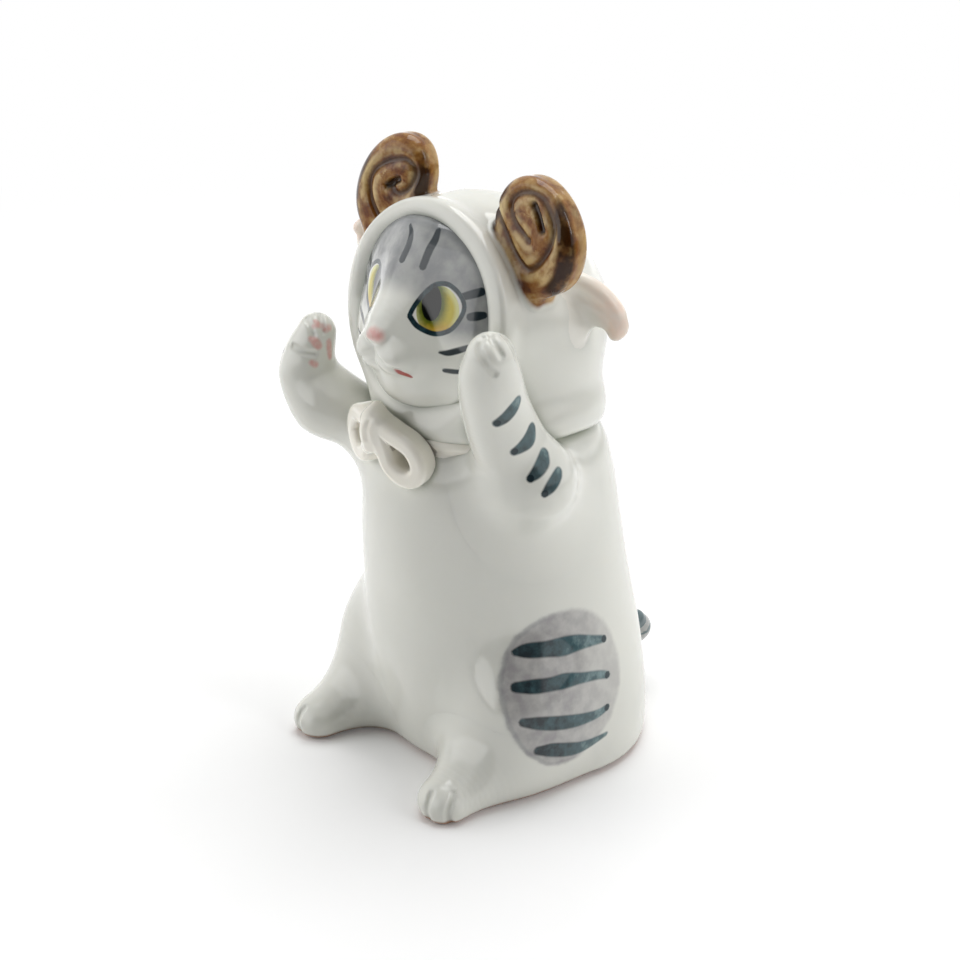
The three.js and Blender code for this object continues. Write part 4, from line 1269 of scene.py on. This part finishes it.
def inWindow(tree, way, towards, halves, soft=0.015):
    # 1 for directions inside an upright rectangle, and how far each direction lies ahead
    front = Vector(towards).normalized()
    across = front.cross(Vector((0, 0, 1))).normalized()
    parts = [node(tree, "VectorMath", {0: way, 1: axis}, operation="DOT_PRODUCT", out=1)
             for axis in (front, across, across.cross(front))]
    ahead = node(tree, "Math", {0: parts[0], 1: 0.05}, operation="MAXIMUM")
    inside = 1.0
    for part, half in zip(parts[1:], halves):
        slant = node(tree, "Math", {0: part, 1: ahead}, operation="DIVIDE")
        slant = node(tree, "Math", {0: slant}, operation="ABSOLUTE")
        within = node(tree, "MapRange", {0: slant, 1: half + soft, 2: half - soft})
        inside = node(tree, "Math", {0: inside, 1: within}, operation="MULTIPLY")
    return inside, parts[0]


def surroundings():
    # A white tent with a bright window, and an opening that the picture is taken through, mirrored as a dark one
    world = bpy.data.worlds.new("white tent")
    bpy.context.scene.world = world
    world.use_nodes = True
    tree = world.node_tree
    tree.nodes.clear()
    rays, straight = raysOf(tree)
    way = node(tree, "TexCoord", out="Generated")
    gap, facing = inWindow(tree, way, studio["gapWay"], studio["gapHalf"], 0.1)
    window, _ = inWindow(tree, way, studio["windowWay"], studio["windowHalf"])
    mirrored = node(tree, "Math", {0: 1.0, 1: gap}, operation="SUBTRACT")
    mirrored = node(tree, "Math", {0: window, 1: studio["windowBright"], 2: mirrored}, operation="MULTIPLY_ADD")
    shade = node(tree, "MapRange", {0: facing, 1: 0.0, 2: 0.85, 3: 1.15, 4: 0.0}, interpolation_type="SMOOTHSTEP")
    lit = node(tree, "Math", {0: shade, 1: studio["tent"]}, operation="MULTIPLY")
    shown = node(tree, "Mix", {0: rays["Is Glossy Ray"], 2: lit, 3: mirrored}, data_type="FLOAT")
    strength = node(tree, "Mix", {0: straight, 2: shown, 3: 1.0}, data_type="FLOAT")
    back = node(tree, "Background", {"Color": linear("#ffffff"), "Strength": strength})
    node(tree, "OutputWorld", {"Surface": back})


def lampAt(turn, rise, away):  # turn is from the front of the figure towards its left, in degrees
    turn, rise = math.radians(turn), math.radians(rise)
    level = away * math.cos(rise)
    return (level * math.sin(turn), -level * math.cos(turn), 0.05 + away * math.sin(rise))


lamps = [  # place, height of the point it shines at, size, watts, and whether the glaze mirrors it
    ("top softbox", (-0.1, 0.25, 0.95), 0.05, (0.7, 0.7), 6.0, True),
    ("left wall", lampAt(-49, 18, 1.0), 0.06, (0.9, 0.9), 4.6, False),
    ("right wall", lampAt(126, 22, 1.0), 0.06, (0.9, 0.9), 2.8, False),
    ("strip softbox", lampAt(104, 32, 0.9), 0.06, (0.06, 0.5), 0.82, True)]
cameraView()
paperSweep()
surroundings()
for name, spot, height, size, power, mirrored in lamps:
    areaLight(name, spot, (0, 0, height), size, power, mirrored)
bpy.context.scene.view_settings.view_transform = "Standard"
print("studio ready")
